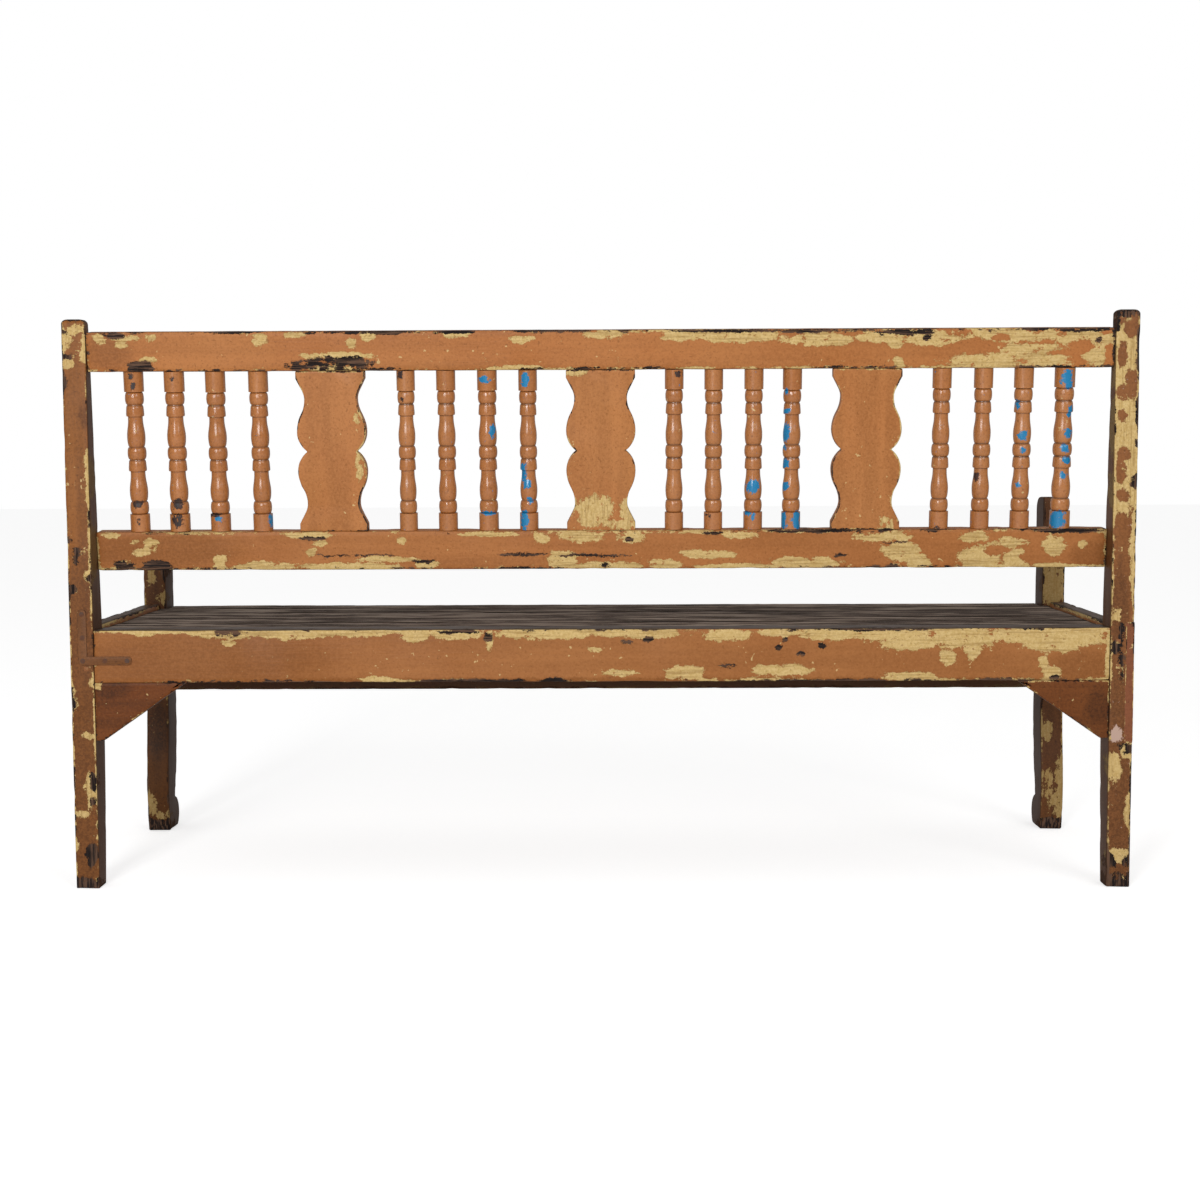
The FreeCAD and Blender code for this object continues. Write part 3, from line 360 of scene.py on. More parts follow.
class NodeSheet:
    """Adds nodes to one node tree and joins them."""

    def __init__(self, tree: NodeTree) -> None:
        """Work on this node tree."""
        self.tree = tree

    def feed(self, node: bpy.types.Node, feeds: dict) -> None:
        """Join a socket to each input of a node, by name or number, or set its value."""
        for name, value in feeds.items():
            if isinstance(value, Socket):
                self.tree.links.new(value, node.inputs[name])
            else:
                node.inputs[name].default_value = value

    def put(self, kind: str, feeds: dict, **settings) -> bpy.types.Node:
        """Add a node.

        Args:
            kind: The node's Blender type.
            feeds: What its inputs get.
            settings: The node's own options.

        Returns:
            The new node.
        """
        node = self.tree.nodes.new(kind)
        for name, value in settings.items():
            setattr(node, name, value)
        self.feed(node, feeds)
        return node

    def place(self) -> Socket:
        """Return the place on the piece."""
        return self.put("ShaderNodeTexCoord", {}).outputs["Object"]

    def mark(self, name: str) -> Socket:
        """Return a mark that the piece's points carry, or 0 where they carry none."""
        return self.put("ShaderNodeAttribute", {}, attribute_name=name).outputs["Fac"]

    def sum(self, operation: str, first: Feed, second: Feed) -> Socket:
        """Return the result of one sum on two values or sockets."""
        return self.put("ShaderNodeMath", {0: first, 1: second}, operation=operation).outputs[0]

    def share(self, value: Feed, part: Feed) -> Socket:
        """Return a part of a value."""
        return self.sum("MULTIPLY", value, part)

    def weigh(self, value: Feed, weight: float, base: Feed, clamp: bool = False) -> Socket:
        """Return a value times its weight plus a base."""
        return self.put("ShaderNodeMath", {0: value, 1: weight, 2: base}, operation="MULTIPLY_ADD",
                        use_clamp=clamp).outputs[0]

    def vector(self, operation: str, first: Feed, second: Feed) -> Socket:
        """Return the result of one sum on two vectors, which for some sums is a plain value."""
        node = self.put("ShaderNodeVectorMath", {0: first, 1: second}, operation=operation)
        return node.outputs["Value" if operation in PLAIN_RESULTS else "Vector"]

    def span(self, value: Feed, low: float, high: float, start: float = 0.0,
             end: float = 1.0) -> Socket:
        """Return a value smoothly mapped from low and high to start and end."""
        feeds = {"Value": value, "From Min": low, "From Max": high, "To Min": start, "To Max": end}
        return self.put("ShaderNodeMapRange", feeds, interpolation_type="SMOOTHSTEP").outputs[0]

    def noise(self, place: Feed, pattern: Pattern, output: str = "Fac") -> Socket:
        """Return a pattern's value or colour before it is cut."""
        feeds = {"Vector": place, "Scale": pattern.scale, "Detail": pattern.detail,
                 "Roughness": pattern.rough}
        return self.put("ShaderNodeTexNoise", feeds).outputs[output]

    def cut(self, level: Feed, pattern: Pattern) -> Socket:
        """Return a level cut to 0 and to 1 where the pattern says."""
        return self.span(level, pattern.low, pattern.high)

    def blend(self, mask: Feed, under: Feed, over: Feed) -> Socket:
        """Return one colour laid over another where the mask is 1."""
        return self.put("ShaderNodeMix", {0: mask, 6: under, 7: over}, data_type="RGBA").outputs[2]

    def coats(self, colour: Feed, *layers: tuple[Feed, Feed]) -> Socket:
        """Return a colour with layers over it, each given by its mask and its colour."""
        for mask, over in layers:
            colour = self.blend(mask, colour, over)
        return colour

    def group(self, tree: NodeTree, feeds: dict) -> bpy.types.NodeOutputs:
        """Place a node group, feed its inputs and return its outputs."""
        return self.put("ShaderNodeGroup", feeds, node_tree=tree).outputs

    def surface(self, feeds: dict, height: Feed, strength: float, distance: float) -> None:
        """Feed the material's surface.

        Args:
            feeds: What its inputs get.
            height: The relief's pattern.
            strength: How strong the relief is.
            distance: How deep it is.
        """
        relief = self.put("ShaderNodeBump", {"Height": height, "Strength": strength,
                                             "Distance": distance})
        feeds = {**feeds, "Normal": relief.outputs["Normal"]}
        self.feed(self.tree.nodes["Principled BSDF"], feeds)


def new_material(name: str) -> tuple[Material, NodeSheet]:
    """Start a material and return it with its node sheet."""
    made = bpy.data.materials.new(name)
    made.use_nodes = True
    return made, NodeSheet(made.node_tree)


class GroupShelf:
    """The effects that several finishes share, each built once as a node group."""

    def __init__(self) -> None:
        """Build every group."""
        self.place = self._marked_place()
        self.flake = self._flake()
        self.grain = self._grain()
        self.tone = self._tone()

    @staticmethod
    def _new(name: str, inputs: dict[str, str], outputs: tuple[str, ...]) -> tuple:
        """Start a group.

        Args:
            name: The group's name.
            inputs: Each input's name and socket type.
            outputs: The names of its outputs, all of them values.

        Returns:
            The group's node sheet, its input sockets and its output node.
        """
        tree = bpy.data.node_groups.new(name, "ShaderNodeTree")
        for label, kind in inputs.items():
            tree.interface.new_socket(label, in_out="INPUT", socket_type=kind)
        for label in outputs:
            tree.interface.new_socket(label, in_out="OUTPUT", socket_type=VALUE)
        sheet = NodeSheet(tree)
        return sheet, sheet.put("NodeGroupInput", {}).outputs, sheet.put("NodeGroupOutput", {})

    def _marked_place(self) -> NodeTree:
        """Return the group for one listed place, worn places and places of painted shade alike: 1 in its
        middle and 0 outside it.
        """
        sheet, given, target = self._new(
            "marked place", {"Place": VECTOR, "Centre": VECTOR, "Reach": VECTOR}, ("Mask",))
        offset = sheet.vector("SUBTRACT", given["Place"], given["Centre"])
        distance = sheet.vector("LENGTH", sheet.vector("DIVIDE", offset, given["Reach"]), (0, 0, 0))
        sheet.feed(target, {"Mask": sheet.span(distance, *PLACE_FADE, 1.0, 0.0)})
        return sheet.tree

    def _flake(self) -> NodeTree:
        """Return the group for a layer that has flaked off with a ragged, sharp edge."""
        sheet, given, target = self._new(
            "flaked paint", {"Place": VECTOR, "Worn": VALUE, "Arris": VALUE, "Amount": VALUE}, ("Mask",))
        coarse, ragged, patchy = (
            sheet.noise(given["Place"], pattern) for pattern in (FLAKES, FLAKE_TEETH, EDGE_STRETCHES))
        arris = sheet.share(given["Arris"], sheet.weigh(sheet.cut(patchy, EDGE_STRETCHES), 0.55, 0.3))
        level = sheet.weigh(ragged, 3.4, sheet.weigh(coarse, 1.2, given["Amount"]))
        level = sheet.sum("ADD", sheet.sum("ADD", level, arris), given["Worn"])
        sheet.feed(target, {"Mask": sheet.cut(level, FLAKE_TEETH)})
        return sheet.tree

    def _grain(self) -> NodeTree:
        """Return the group for wood grain: fine raised lines and broad figure."""
        patterns = {"Lines": GRAIN_LINES, "Figure": GRAIN_FIGURE}
        sheet, given, target = self._new("wood grain", {"Place": VECTOR, "Stretch": VECTOR}, tuple(patterns))
        drawn = sheet.vector("MULTIPLY", given["Place"], given["Stretch"])
        for label, pattern in patterns.items():
            sheet.feed(target, {label: sheet.cut(sheet.noise(drawn, pattern), pattern)})
        return sheet.tree

    def _tone(self) -> NodeTree:
        """Return the group for uneven tone: broad clouds, small specks and crowds of flecks."""
        patterns = {"Clouds": CLOUDS, "Mottle": MOTTLE, "Specks": SPECKS, "Flecks": FLECKS}
        sheet, given, target = self._new("uneven tone", {"Place": VECTOR}, tuple(patterns))
        for label, pattern in patterns.items():
            level = sheet.noise(given["Place"], pattern)
            if pattern is FLECKS:
                level = sheet.weigh(sheet.noise(given["Place"], FLECK_CROWDS), 0.3, level)
            sheet.feed(target, {label: sheet.cut(level, pattern)})
        return sheet.tree


@dataclass(frozen=True)
class FlakingPaint:
    """A top coat that flakes off an ochre coat, and both off dark wood.

    wear lists the worn places and the places of painted shade, which lie on the plane at the
    given depth. flaking and chipping raise how much ochre and bare wood shows elsewhere. The
    side setting paints shade on the faces that turn the given way, a painted shaded side in
    deep brown, and bare_top wears the upper faces to grey wood.
    """

    name: str
    run: Run
    depth: float = BACK_PLANE
    wear: tuple[Patch, ...] = ()
    coat: Colour = TERRACOTTA
    pale: Colour = TERRACOTTA_PALE
    deep: Colour = TERRACOTTA_DEEP
    under: Colour = OCHRE
    under_pale: Colour = OCHRE_PALE
    under_deep: Colour = OCHRE_DEEP
    wood: Colour = BARE_WOOD
    wood_pale: Colour = BARE_WOOD_PALE
    flaking: float = -0.12
    chipping: float = -0.22
    roughness: float = 0.42
    darkening: float = 0.35
    deep_reach: float = 0.05
    gloss: float = 0.2
    # How strongly painted shade darkens the faces that turn the given way.
    grime_and_shade: float = 0.0
    shade_way: Triple = TO_RIGHT
    bare_top: float = 0.0

    def _places_mask(self, sheet: NodeSheet, shelf: GroupShelf, place: Feed, layer: Layer) -> Feed:
        """Return the mask of every listed place of one layer (the layers cover wear, overpaint and painted
        shade), and 0 where there is none.
        """
        mask = 0.0
        for patch in self.wear:
            if patch.layer is layer:
                feeds = {"Place": place, "Centre": patch.centre(self.depth),
                         "Reach": patch.reach(self.depth, self.deep_reach)}
                mask = sheet.sum("MAXIMUM", sheet.group(shelf.place, feeds)["Mask"], mask)
        return mask

    def _layers(self, sheet: NodeSheet, shelf: GroupShelf, place: Feed, bent: Feed,
                arris: Feed) -> list[Socket]:
        """Return the masks of the ochre and of the bare wood.

        Args:
            sheet: The material's nodes.
            shelf: The shared node groups.
            place: The place on the piece.
            bent: The same place, shifted a little so that no listed place is a plain oval.
            arris: How near an edge each point is.

        Returns:
            The two masks.
        """
        flow = sheet.vector("MULTIPLY", place, self.run.flow)
        ochre, chips, kept = (
            self._places_mask(sheet, shelf, bent, layer) for layer in (Layer.OCHRE, Layer.WOOD, Layer.KEPT))
        worn = sheet.sum("MAXIMUM", ochre, sheet.share(chips, 0.45))
        worn = sheet.weigh(kept, -0.8, sheet.share(worn, 1.05))
        flakes = {"Place": flow, "Worn": worn, "Arris": arris, "Amount": self.flaking}
        holes = {"Place": sheet.vector("ADD", flow, CHIP_SHIFT), "Worn": sheet.share(chips, 1.1),
                 "Arris": arris, "Amount": self.chipping}
        return [sheet.group(shelf.flake, feeds)["Mask"] for feeds in (flakes, holes)]

    def _coat(self, sheet: NodeSheet, shelf: GroupShelf, place: Feed, bent: Feed, figure: Feed,
              tone: bpy.types.NodeOutputs) -> Socket:
        """Return the colour of the top coat with its tones, stains, painted shade and overpainted blue."""
        # Painted shade: the listed shade places darken the coat to its deep colour.
        soil = sheet.share(self._places_mask(sheet, shelf, bent, Layer.SOIL),
                           sheet.weigh(tone["Mottle"], -0.35, 0.75))
        coat = sheet.coats(
            self.coat,
            (tone["Clouds"], self.pale),
            (sheet.share(figure, self.darkening), self.deep),
            (sheet.span(tone["Mottle"], 0.0, 0.45, 0.26, 0.0), self.deep),
            (sheet.span(tone["Mottle"], 0.55, 1.0, 0.0, 0.4), self.pale),
            (sheet.share(tone["Specks"], 0.55), self.deep),
            (sheet.share(tone["Flecks"], 0.75), self.under_pale),
            (soil, self.deep))
        ragged = sheet.noise(place, BRUSHED_TEETH)
        for layer, paint in ((Layer.BLUE, BLUE), (Layer.FILLER, FILLER)):
            if any(patch.layer is layer for patch in self.wear):
                spot = sheet.weigh(ragged, 3.0, self._places_mask(sheet, shelf, bent, layer))
                coat = sheet.blend(sheet.cut(spot, BRUSHED_TEETH), coat, paint)
        return coat

    def material(self, shelf: GroupShelf) -> Material:
        """Build the finish.

        Args:
            shelf: The shared node groups.

        Returns:
            The material.
        """
        made, sheet = new_material(self.name)
        place = sheet.place()
        normal = sheet.put("ShaderNodeNewGeometry", {}).outputs["Normal"]
        raised = sheet.span(sheet.put("ShaderNodeSeparateXYZ", {0: normal}).outputs["Z"], 0.3, 0.8)
        drift = sheet.vector("SUBTRACT", sheet.noise(place, DRIFT, "Color"), (0.5, 0.5, 0.5))
        bent = sheet.vector("ADD", place, sheet.vector("MULTIPLY", drift, DRIFT_REACH))

        grain = sheet.group(shelf.grain, {"Place": place, "Stretch": self.run.value})
        tone = sheet.group(shelf.tone, {"Place": place})
        lines = grain["Lines"]
        arris = sheet.weigh(raised, 0.25, sheet.mark(ARRIS))
        ochre, wood = self._layers(sheet, shelf, place, bent, arris)
        coat = self._coat(sheet, shelf, place, bent, grain["Figure"], tone)
        under = sheet.coats(
            self.under,
            (tone["Mottle"], self.under_pale),
            (sheet.span(lines, 0.45, 1.0, 0.0, 0.6), self.under_deep),
            (sheet.share(tone["Specks"], 0.7), self.under_deep))
        bare = sheet.blend(sheet.span(lines, 0.3, 0.9), self.wood, self.wood_pale)
        colour = sheet.coats(coat, (ochre, under), (wood, bare))
        # Painted shade: faces that turn the given way are darkened to a deep brown, as sides in shadow.
        if self.grime_and_shade:
            towards = sheet.vector("DOT_PRODUCT", normal, self.shade_way)
            colour = sheet.blend(sheet.span(towards, 0.6, 0.9, 0.0, self.grime_and_shade), colour, SHADED_SIDE_BROWN)
        if self.bare_top:
            grey = sheet.blend(lines, BOARD_GREY, BARE_WOOD)
            colour = sheet.blend(sheet.share(raised, self.bare_top), colour, grey)
        # Grime and painted shade: the spindles' grooves and hollows are darkened, as dirt and as the shade
        # that falls there.
        grime_and_shade = sheet.share(sheet.mark(HOLLOW), sheet.weigh(tone["Clouds"], 0.4, 0.5))
        rough = sheet.weigh(wood, 0.35, sheet.weigh(ochre, 0.22, self.roughness))
        height = sheet.weigh(wood, -0.9, sheet.weigh(ochre, -0.5, sheet.share(lines, 0.16)))
        sheet.surface(
            {"Base Color": sheet.blend(grime_and_shade, colour, GROOVE_GRIME_AND_SHADE), "Specular IOR Level": self.gloss,
             "Roughness": sheet.weigh(tone["Clouds"], 0.1, rough, clamp=True)},
            height, strength=0.6, distance=0.0012)
        return made


@dataclass(frozen=True)
class WeatheredWood:
    """Bare boards, grey from wear, with dark pores and a trace of old paint."""

    name: str
    run: Run
    dark: Colour = (0.026, 0.018, 0.014, 1)
    middle: Colour = (0.125, 0.084, 0.062, 1)
    pale: Colour = (0.420, 0.330, 0.265, 1)
    trace: Colour = (0.240, 0.130, 0.060, 1)
    trace_amount: float = -0.25
    streak: Triple = (1.3, 11.0, 11.0)
    roughness: float = 0.85
    gloss: float = 0.08

    def material(self, shelf: GroupShelf) -> Material:
        """Build the finish.

        Args:
            shelf: The shared node groups.

        Returns:
            The material.
        """
        made, sheet = new_material(self.name)
        place = sheet.place()
        grain = sheet.group(shelf.grain, {"Place": place, "Stretch": self.run.value})
        tone = sheet.group(shelf.tone, {"Place": place})
        feeds = {"Place": place, "Worn": 0.0, "Arris": 0.0, "Amount": self.trace_amount}
        trace = sheet.group(shelf.flake, feeds)["Mask"]
        lines = grain["Lines"]
        worn = sheet.noise(sheet.vector("MULTIPLY", place, self.streak), STREAKS)
        colour = sheet.coats(
            self.middle,
            (grain["Figure"], self.dark),
            (sheet.span(worn, 0.40, 0.48, 0.95, 0.0), self.dark),
            (sheet.span(worn, 0.49, 0.60, 0.0, 0.95), self.pale),
            (sheet.span(lines, 0.42, 1.0, 0.0, 0.75), self.pale),
            (sheet.span(lines, 0.0, 0.22, 0.85, 0.0), self.dark),
            (sheet.share(tone["Clouds"], 0.15), self.middle),
            (sheet.share(tone["Specks"], 0.6), self.pale),
            (sheet.share(trace, 0.7), self.trace),
            (sheet.share(sheet.mark(ARRIS), 0.8), self.dark))
        sheet.surface(
            {"Base Color": colour, "Specular IOR Level": self.gloss,
             "Roughness": sheet.weigh(lines, 0.15, self.roughness)},
            sheet.weigh(trace, 0.3, lines), strength=0.6, distance=0.0011)
        return made


@dataclass(frozen=True)
class RustedIron:
    """Dark iron with rust clouds."""

    name: str
    dark: Colour = (0.035, 0.028, 0.025, 1)
    rust: Colour = (0.16, 0.055, 0.02, 1)
    cloud_stretch: Triple = (9, 9, 9)

    def material(self, shelf: GroupShelf) -> Material:
        """Build the finish from the shared node groups."""
        made, sheet = new_material(self.name)
        place = sheet.vector("MULTIPLY", sheet.place(), self.cloud_stretch)
        clouds = sheet.group(shelf.tone, {"Place": place})["Clouds"]
        sheet.surface(
            {"Base Color": sheet.blend(clouds, self.dark, self.rust), "Metallic": 0.35,
             "Roughness": sheet.span(clouds, 0.0, 1.0, 0.45, 0.85)},
            clouds, strength=0.4, distance=0.0006)
        return made


SIDES = ((-1, "left"), (1, "right"))
RIGHT, LEFT, UP, DOWN = Vector((1, 0)), Vector((-1, 0)), Vector((0, 1)), Vector((0, -1))


class View(Enum):
    """The plane of an outline: the directions of its two axes and the way through it."""

    SIDE = ((0, 1, 0), (0, 0, 1), (1, 0, 0))
    BACK = ((1, 0, 0), (0, 0, 1), (0, 1, 0))
    TOP = ((1, 0, 0), (0, 1, 0), (0, 0, 1))


@dataclass(frozen=True)
class Wear:
    """How the edges of one kind of piece are worn.

    arris is how far they are rounded, dent the deepest knock in them and band how far in
    from them the wear reaches.
    """

    arris: float
    dent: float
    band: float = 0.006


def sweep(start: Vector, heading: Vector, end: Vector, steps: int = 4) -> list[Vector]:
    """Follow the arc that leaves start along heading and ends at end.

    Args:
        start: Where the arc begins, in the outline's plane.
        heading: The direction in which it leaves.
        end: Where it ends.
        steps: How many points to give.

    Returns:
        The points after start, the last of them at end.
    """
    chord = end - start
    turn = math.atan2(heading.cross(chord), heading.dot(chord))
    points = []
    for step in range(1, steps + 1):
        part = turn * step / steps
        direction = Matrix.Rotation(part, 2) @ heading
        points.append(start + direction * (chord.length * math.sin(part) / math.sin(turn)))
    return points


def sweep_back(start: Vector, heading: Vector, end: Vector, steps: int = 4) -> list[Vector]:
    """Return the points of the same arc from its end back to its start."""
    return sweep(start, heading, end, steps)[::-1] + [start]


def divided(points: list[Vector], longest: float = OUTLINE_STEP) -> list[Vector]:
    """Add points to the long sides of a closed outline, so that no side is over the longest."""
    full = []
    for point, following in zip(points, points[1:] + points[:1]):
        pieces = max(1, math.ceil((following - point).length / longest))
        full += [point.lerp(following, piece / pieces) for piece in range(pieces)]
    return full


def soften(shape: BMesh, arris: float) -> None:
    """Round every sharp edge this far and mark its points, so that the finish can wear there."""
    layer = shape.verts.layers.float.new(ARRIS)
    bmesh.ops.recalc_face_normals(shape, faces=shape.faces)
    sharp = [edge for edge in shape.edges
             if len(edge.link_faces) == 2 and edge.calc_face_angle() > SHARP_ANGLE]
    made = bmesh.ops.bevel(shape, geom=sharp, offset=arris, offset_type="OFFSET", segments=2,
                           profile=0.5, affect="EDGES", material=-1, clamp_overlap=True)
    for face in made["faces"]:
        for vertex in face.verts:
            vertex[layer] = 1.0


def worn(shape: BMesh, wear: Wear, seed: float) -> BMesh:
    """Round a piece's edges and knock them in unevenly.

    Args:
        shape: The sharp piece.
        wear: How its edges are worn.
        seed: Moves the pattern of knocks, so that no two pieces wear alike.

    Returns:
        The same piece.
    """
    soften(shape, wear.arris)
    layer = shape.verts.layers.float[ARRIS]
    shape.normal_update()
    shift = Vector((seed, 2 * seed, 3 * seed))
    for vertex in shape.verts:
        coarse = noise.noise(vertex.co * COARSE_KNOCKS + shift)
        fine = noise.noise(vertex.co * FINE_KNOCKS + shift)
        dent = max(0.0, coarse + 0.6 * fine - 0.05) * wear.dent * vertex[layer]
        vertex.co -= vertex.normal * dent
    return shape


def board(low: Vector, high: Vector, wear: Wear, seed: float) -> BMesh:
    """Make a worn board between two corners.

    Args:
        low: The board's lowest corner.
        high: Its highest corner.
        wear: How its edges are worn.
        seed: Moves the pattern of knocks.

    Returns:
        The board.
    """
    size = high - low
    middle = (low + high) / 2
    shape = bmesh.new()
    bmesh.ops.create_cube(shape, size=1, matrix=Matrix.Translation(middle)
                          @ Matrix.Diagonal(size).to_4x4())
    longest = max(range(3), key=lambda axis: size[axis])
    for axis in range(3):
        normal = Vector([1.0 if index == axis else 0.0 for index in range(3)])
        for cut in (low[axis] + BOARD_BAND, high[axis] - BOARD_BAND):
            place = middle.copy()
            place[axis] = cut
            bmesh.ops.bisect_plane(shape, geom=shape.verts[:] + shape.edges[:] + shape.faces[:],
                                   plane_co=place, plane_no=normal)
    runs = [edge for edge in shape.edges
            if abs(edge.verts[0].co[longest] - edge.verts[1].co[longest]) > BOARD_STEP * 2]
    if runs:
        cuts = int(runs[0].calc_length() / BOARD_STEP)
        bmesh.ops.subdivide_edges(shape, edges=runs, cuts=cuts, use_grid_fill=True)
    return worn(shape, wear, seed)


def sawn(outline: list[Vector], view: View, origin: Vector, thickness: float, wear: Wear,
         seed: float) -> BMesh:
    """Saw a piece to an outline and wear its edges.

    Args:
        outline: The closed outline, in its own plane.
        view: Which plane that is.
        origin: Where the outline's own origin lies.
        thickness: How far the piece goes through from there.
        wear: How its edges are worn.
        seed: Moves the pattern of knocks.

    Returns:
        The piece.
    """
    across, rise, through = (Vector(direction) for direction in view.value)
    shape = bmesh.new()
    corners = [shape.verts.new(origin + across * point.x + rise * point.y) for point in outline]
    first = cap = shape.faces.new(corners)
    for step in (wear.band, thickness - 2 * wear.band, wear.band):
        made = bmesh.ops.extrude_face_region(shape, geom=[cap])["geom"]
        if cap is not first:
            bmesh.ops.delete(shape, geom=[cap], context="FACES_ONLY")
        cap = next(item for item in made if isinstance(item, bmesh.types.BMFace))
        bmesh.ops.translate(shape, verts=cap.verts[:], vec=through * step)
    bmesh.ops.recalc_face_normals(shape, faces=shape.faces)
    bmesh.ops.inset_region(shape, faces=[first, cap], thickness=wear.band, use_even_offset=True)
    return worn(shape, wear, seed)


def placed(shape: BMesh, name: str, finish: Material, slot: str,
           *nodes: str) -> bpy.types.Object:
    """Turn a shape into a piece of the bench.

    Args:
        shape: The finished mesh.
        name: The piece's name.
        finish: Its material.
        slot: The record's material slot; not used.
        nodes: The CAD nodes that it replaces.

    Returns:
        The piece.
    """
    mesh = bpy.data.meshes.new(name)
    shape.to_mesh(mesh)
    shape.free()
    mesh.shade_smooth()
    mesh.set_sharp_from_angle(angle=SHARP_ANGLE)
    mesh.materials.append(finish)
    piece = bpy.data.objects.new(name, mesh)
    bpy.context.collection.objects.link(piece)
    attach(piece, "root")
    if nodes:
        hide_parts(*nodes)
    LOG.info("%s: %d faces", name, len(mesh.polygons))
    return piece


def dress(nodes: list[str], finish: Material) -> None:
    """Give CAD nodes whose shape is right their finish."""
    for name in nodes:
        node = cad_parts[name]
        node.data.materials.clear()
        node.data.materials.append(finish)
        LOG.info("%s: kept from the frame", name)


@dataclass
class BackPosts:
    """The two rear legs, which run up as back posts, with the let-in repair of the right one."""

    foot_depth: float = 0.042
    seat_depth: float = 0.059
    top_depth: float = 0.024
    seat_low: float = 0.361
    seat_high: float = 0.452
    top_round: float = 0.008
    top_flare: float = 0.0006
    bow_steps: int = 9
    wear: Wear = Wear(0.0022, 0.0016)
    seed: float = 4.0
    splice_depth: float = 0.011
    splice_slope: float = 0.026
    splice_set: float = 0.0004
    splice_step: float = 0.012
    splice_wear: Wear = Wear(0.0012, 0.0009, 0.003)
    splice_seed: float = 9.0

    def _outline(self, height: float) -> list[Vector]:
        """Return the outline seen from the side, with a bowed lower front and a tapered post."""
        swell = self.seat_depth - self.foot_depth
        front = [Vector((self.seat_depth - swell * (1 - z / self.seat_low) ** 2, z))
                 for z in (self.seat_low * step / self.bow_steps for step in range(self.bow_steps + 1))]
        crown = self.top_round
        top_front = Vector((self.top_depth - crown, height))
        top_back = Vector((crown, height))
        points = front + [Vector((self.seat_depth, self.seat_high))]
        points += [Vector((self.top_depth + self.top_flare, height - crown))]
        points += sweep(points[-1], UP, top_front) + [top_back]
        points += sweep(top_back, LEFT, Vector((0, height - crown))) + [Vector((0, 0))]
        return divided(points)

    def build(self, paints: Paints) -> None:
        """Make both posts and the repair from the finishes by name."""
        for side, word in SIDES:
            name = f"rear_leg_{word}"
            low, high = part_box(name)
            narrow = self.splice_set if side > 0 else 0.0
            shape = sawn(self._outline(high.z), View.SIDE, Vector((low.x, low.y, 0)),
                         high.x - low.x - narrow, self.wear, side * self.seed)
            self._round_top(shape, high.z)
            placed(shape, f"back_post_{word}", paints[name], "paint_posts", name)
        self._splice(paints["repair"])

    def _round_top(self, shape: BMesh, height: float) -> None:
        """Draw the post's top corners in, so that the worn end is rounded from the back too."""
        xs = [vertex.co.x for vertex in shape.verts]
        middle, half = (min(xs) + max(xs)) / 2, (max(xs) - min(xs)) / 2
        for vertex in shape.verts:
            rise = vertex.co.z - (height - self.top_round)
            if rise > 0:
                part = min(1.0, rise / self.top_round)
                inset = self.top_round * (1 - math.sqrt(1 - part * part))
                vertex.co.x = middle + (vertex.co.x - middle) * (half - inset) / half

    def _splice(self, finish: Material) -> None:
        """Make the let-in repair with sloping ends."""
        low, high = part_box("leg_repair_splice")
        outline = [Vector((0, low.z)), Vector((self.splice_depth, low.z + self.splice_slope)),
                   Vector((self.splice_depth, high.z - self.splice_slope)), Vector((0, high.z))]
        origin = Vector((low.x, low.y - self.splice_set, 0))
        shape = sawn(divided(outline, self.splice_step), View.SIDE, origin, high.x - low.x,
                     self.splice_wear, self.splice_seed)
        placed(shape, "post_splice", finish, "repair_wood", "leg_repair_splice")


@dataclass
class FrontLegs:
    """The two front legs with a swept knee, a kicked heel and a bulb foot."""

    post_depth: float = 0.066
    post_round: float = 0.025
    rail_low: float = 0.281
    knee: Pair = (0.070, 0.240)
    ankle: Pair = (0.042, 0.062)
    bulb: Pair = (0.072, 0.027)
    sole: Pair = (-0.005, 0.060)
    heel: Pair = (-0.014, 0.085)
    wear: Wear = Wear(0.003, 0.002)
    seed: float = 6.0

    def _outline(self, height: float) -> list[Vector]:
        """Return the outline seen from the side, starting at the back of the sole."""
        knee, ankle, bulb, heel = map(Vector, (self.knee, self.ankle, self.bulb, self.heel))
        calf = Vector((0, self.knee[1]))
        sole_front = Vector((self.sole[1], 0))
        sole_back = Vector((self.sole[0], 0))
        swap = heel.lerp(calf, 0.5)
        post = Vector((self.post_depth, self.rail_low))
        shoulder = Vector((self.post_depth, height - self.post_round))
        crest = Vector((self.post_depth - self.post_round, height))
        points = [sole_back] + sweep_back(bulb, DOWN, sole_front, 5) + sweep(bulb, UP, ankle, 7)
        points += sweep_back(knee, DOWN, ankle, 9)[1:] + sweep(knee, UP, post, 3)
        points += [shoulder] + sweep(shoulder, UP, crest, 5) + [Vector((0, height)), calf]
        points += sweep(calf, DOWN, swap) + sweep_back(heel, UP, swap)[1:]
        points += sweep(heel, DOWN, sole_back)[:-1]
        return divided(points)

    def build(self, paints: Paints) -> None:
        """Make both legs from the finishes by name."""
        for side, word in SIDES:
            name = f"front_leg_{word}"
            low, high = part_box(name)
            origin = Vector((low.x, low.y - self.heel[0], 0))
            shape = sawn(self._outline(high.z), View.SIDE, origin, high.x - low.x, self.wear,
                         self.seed + side)
            placed(shape, f"front_post_{word}", paints[name], "paint_front_legs", name)


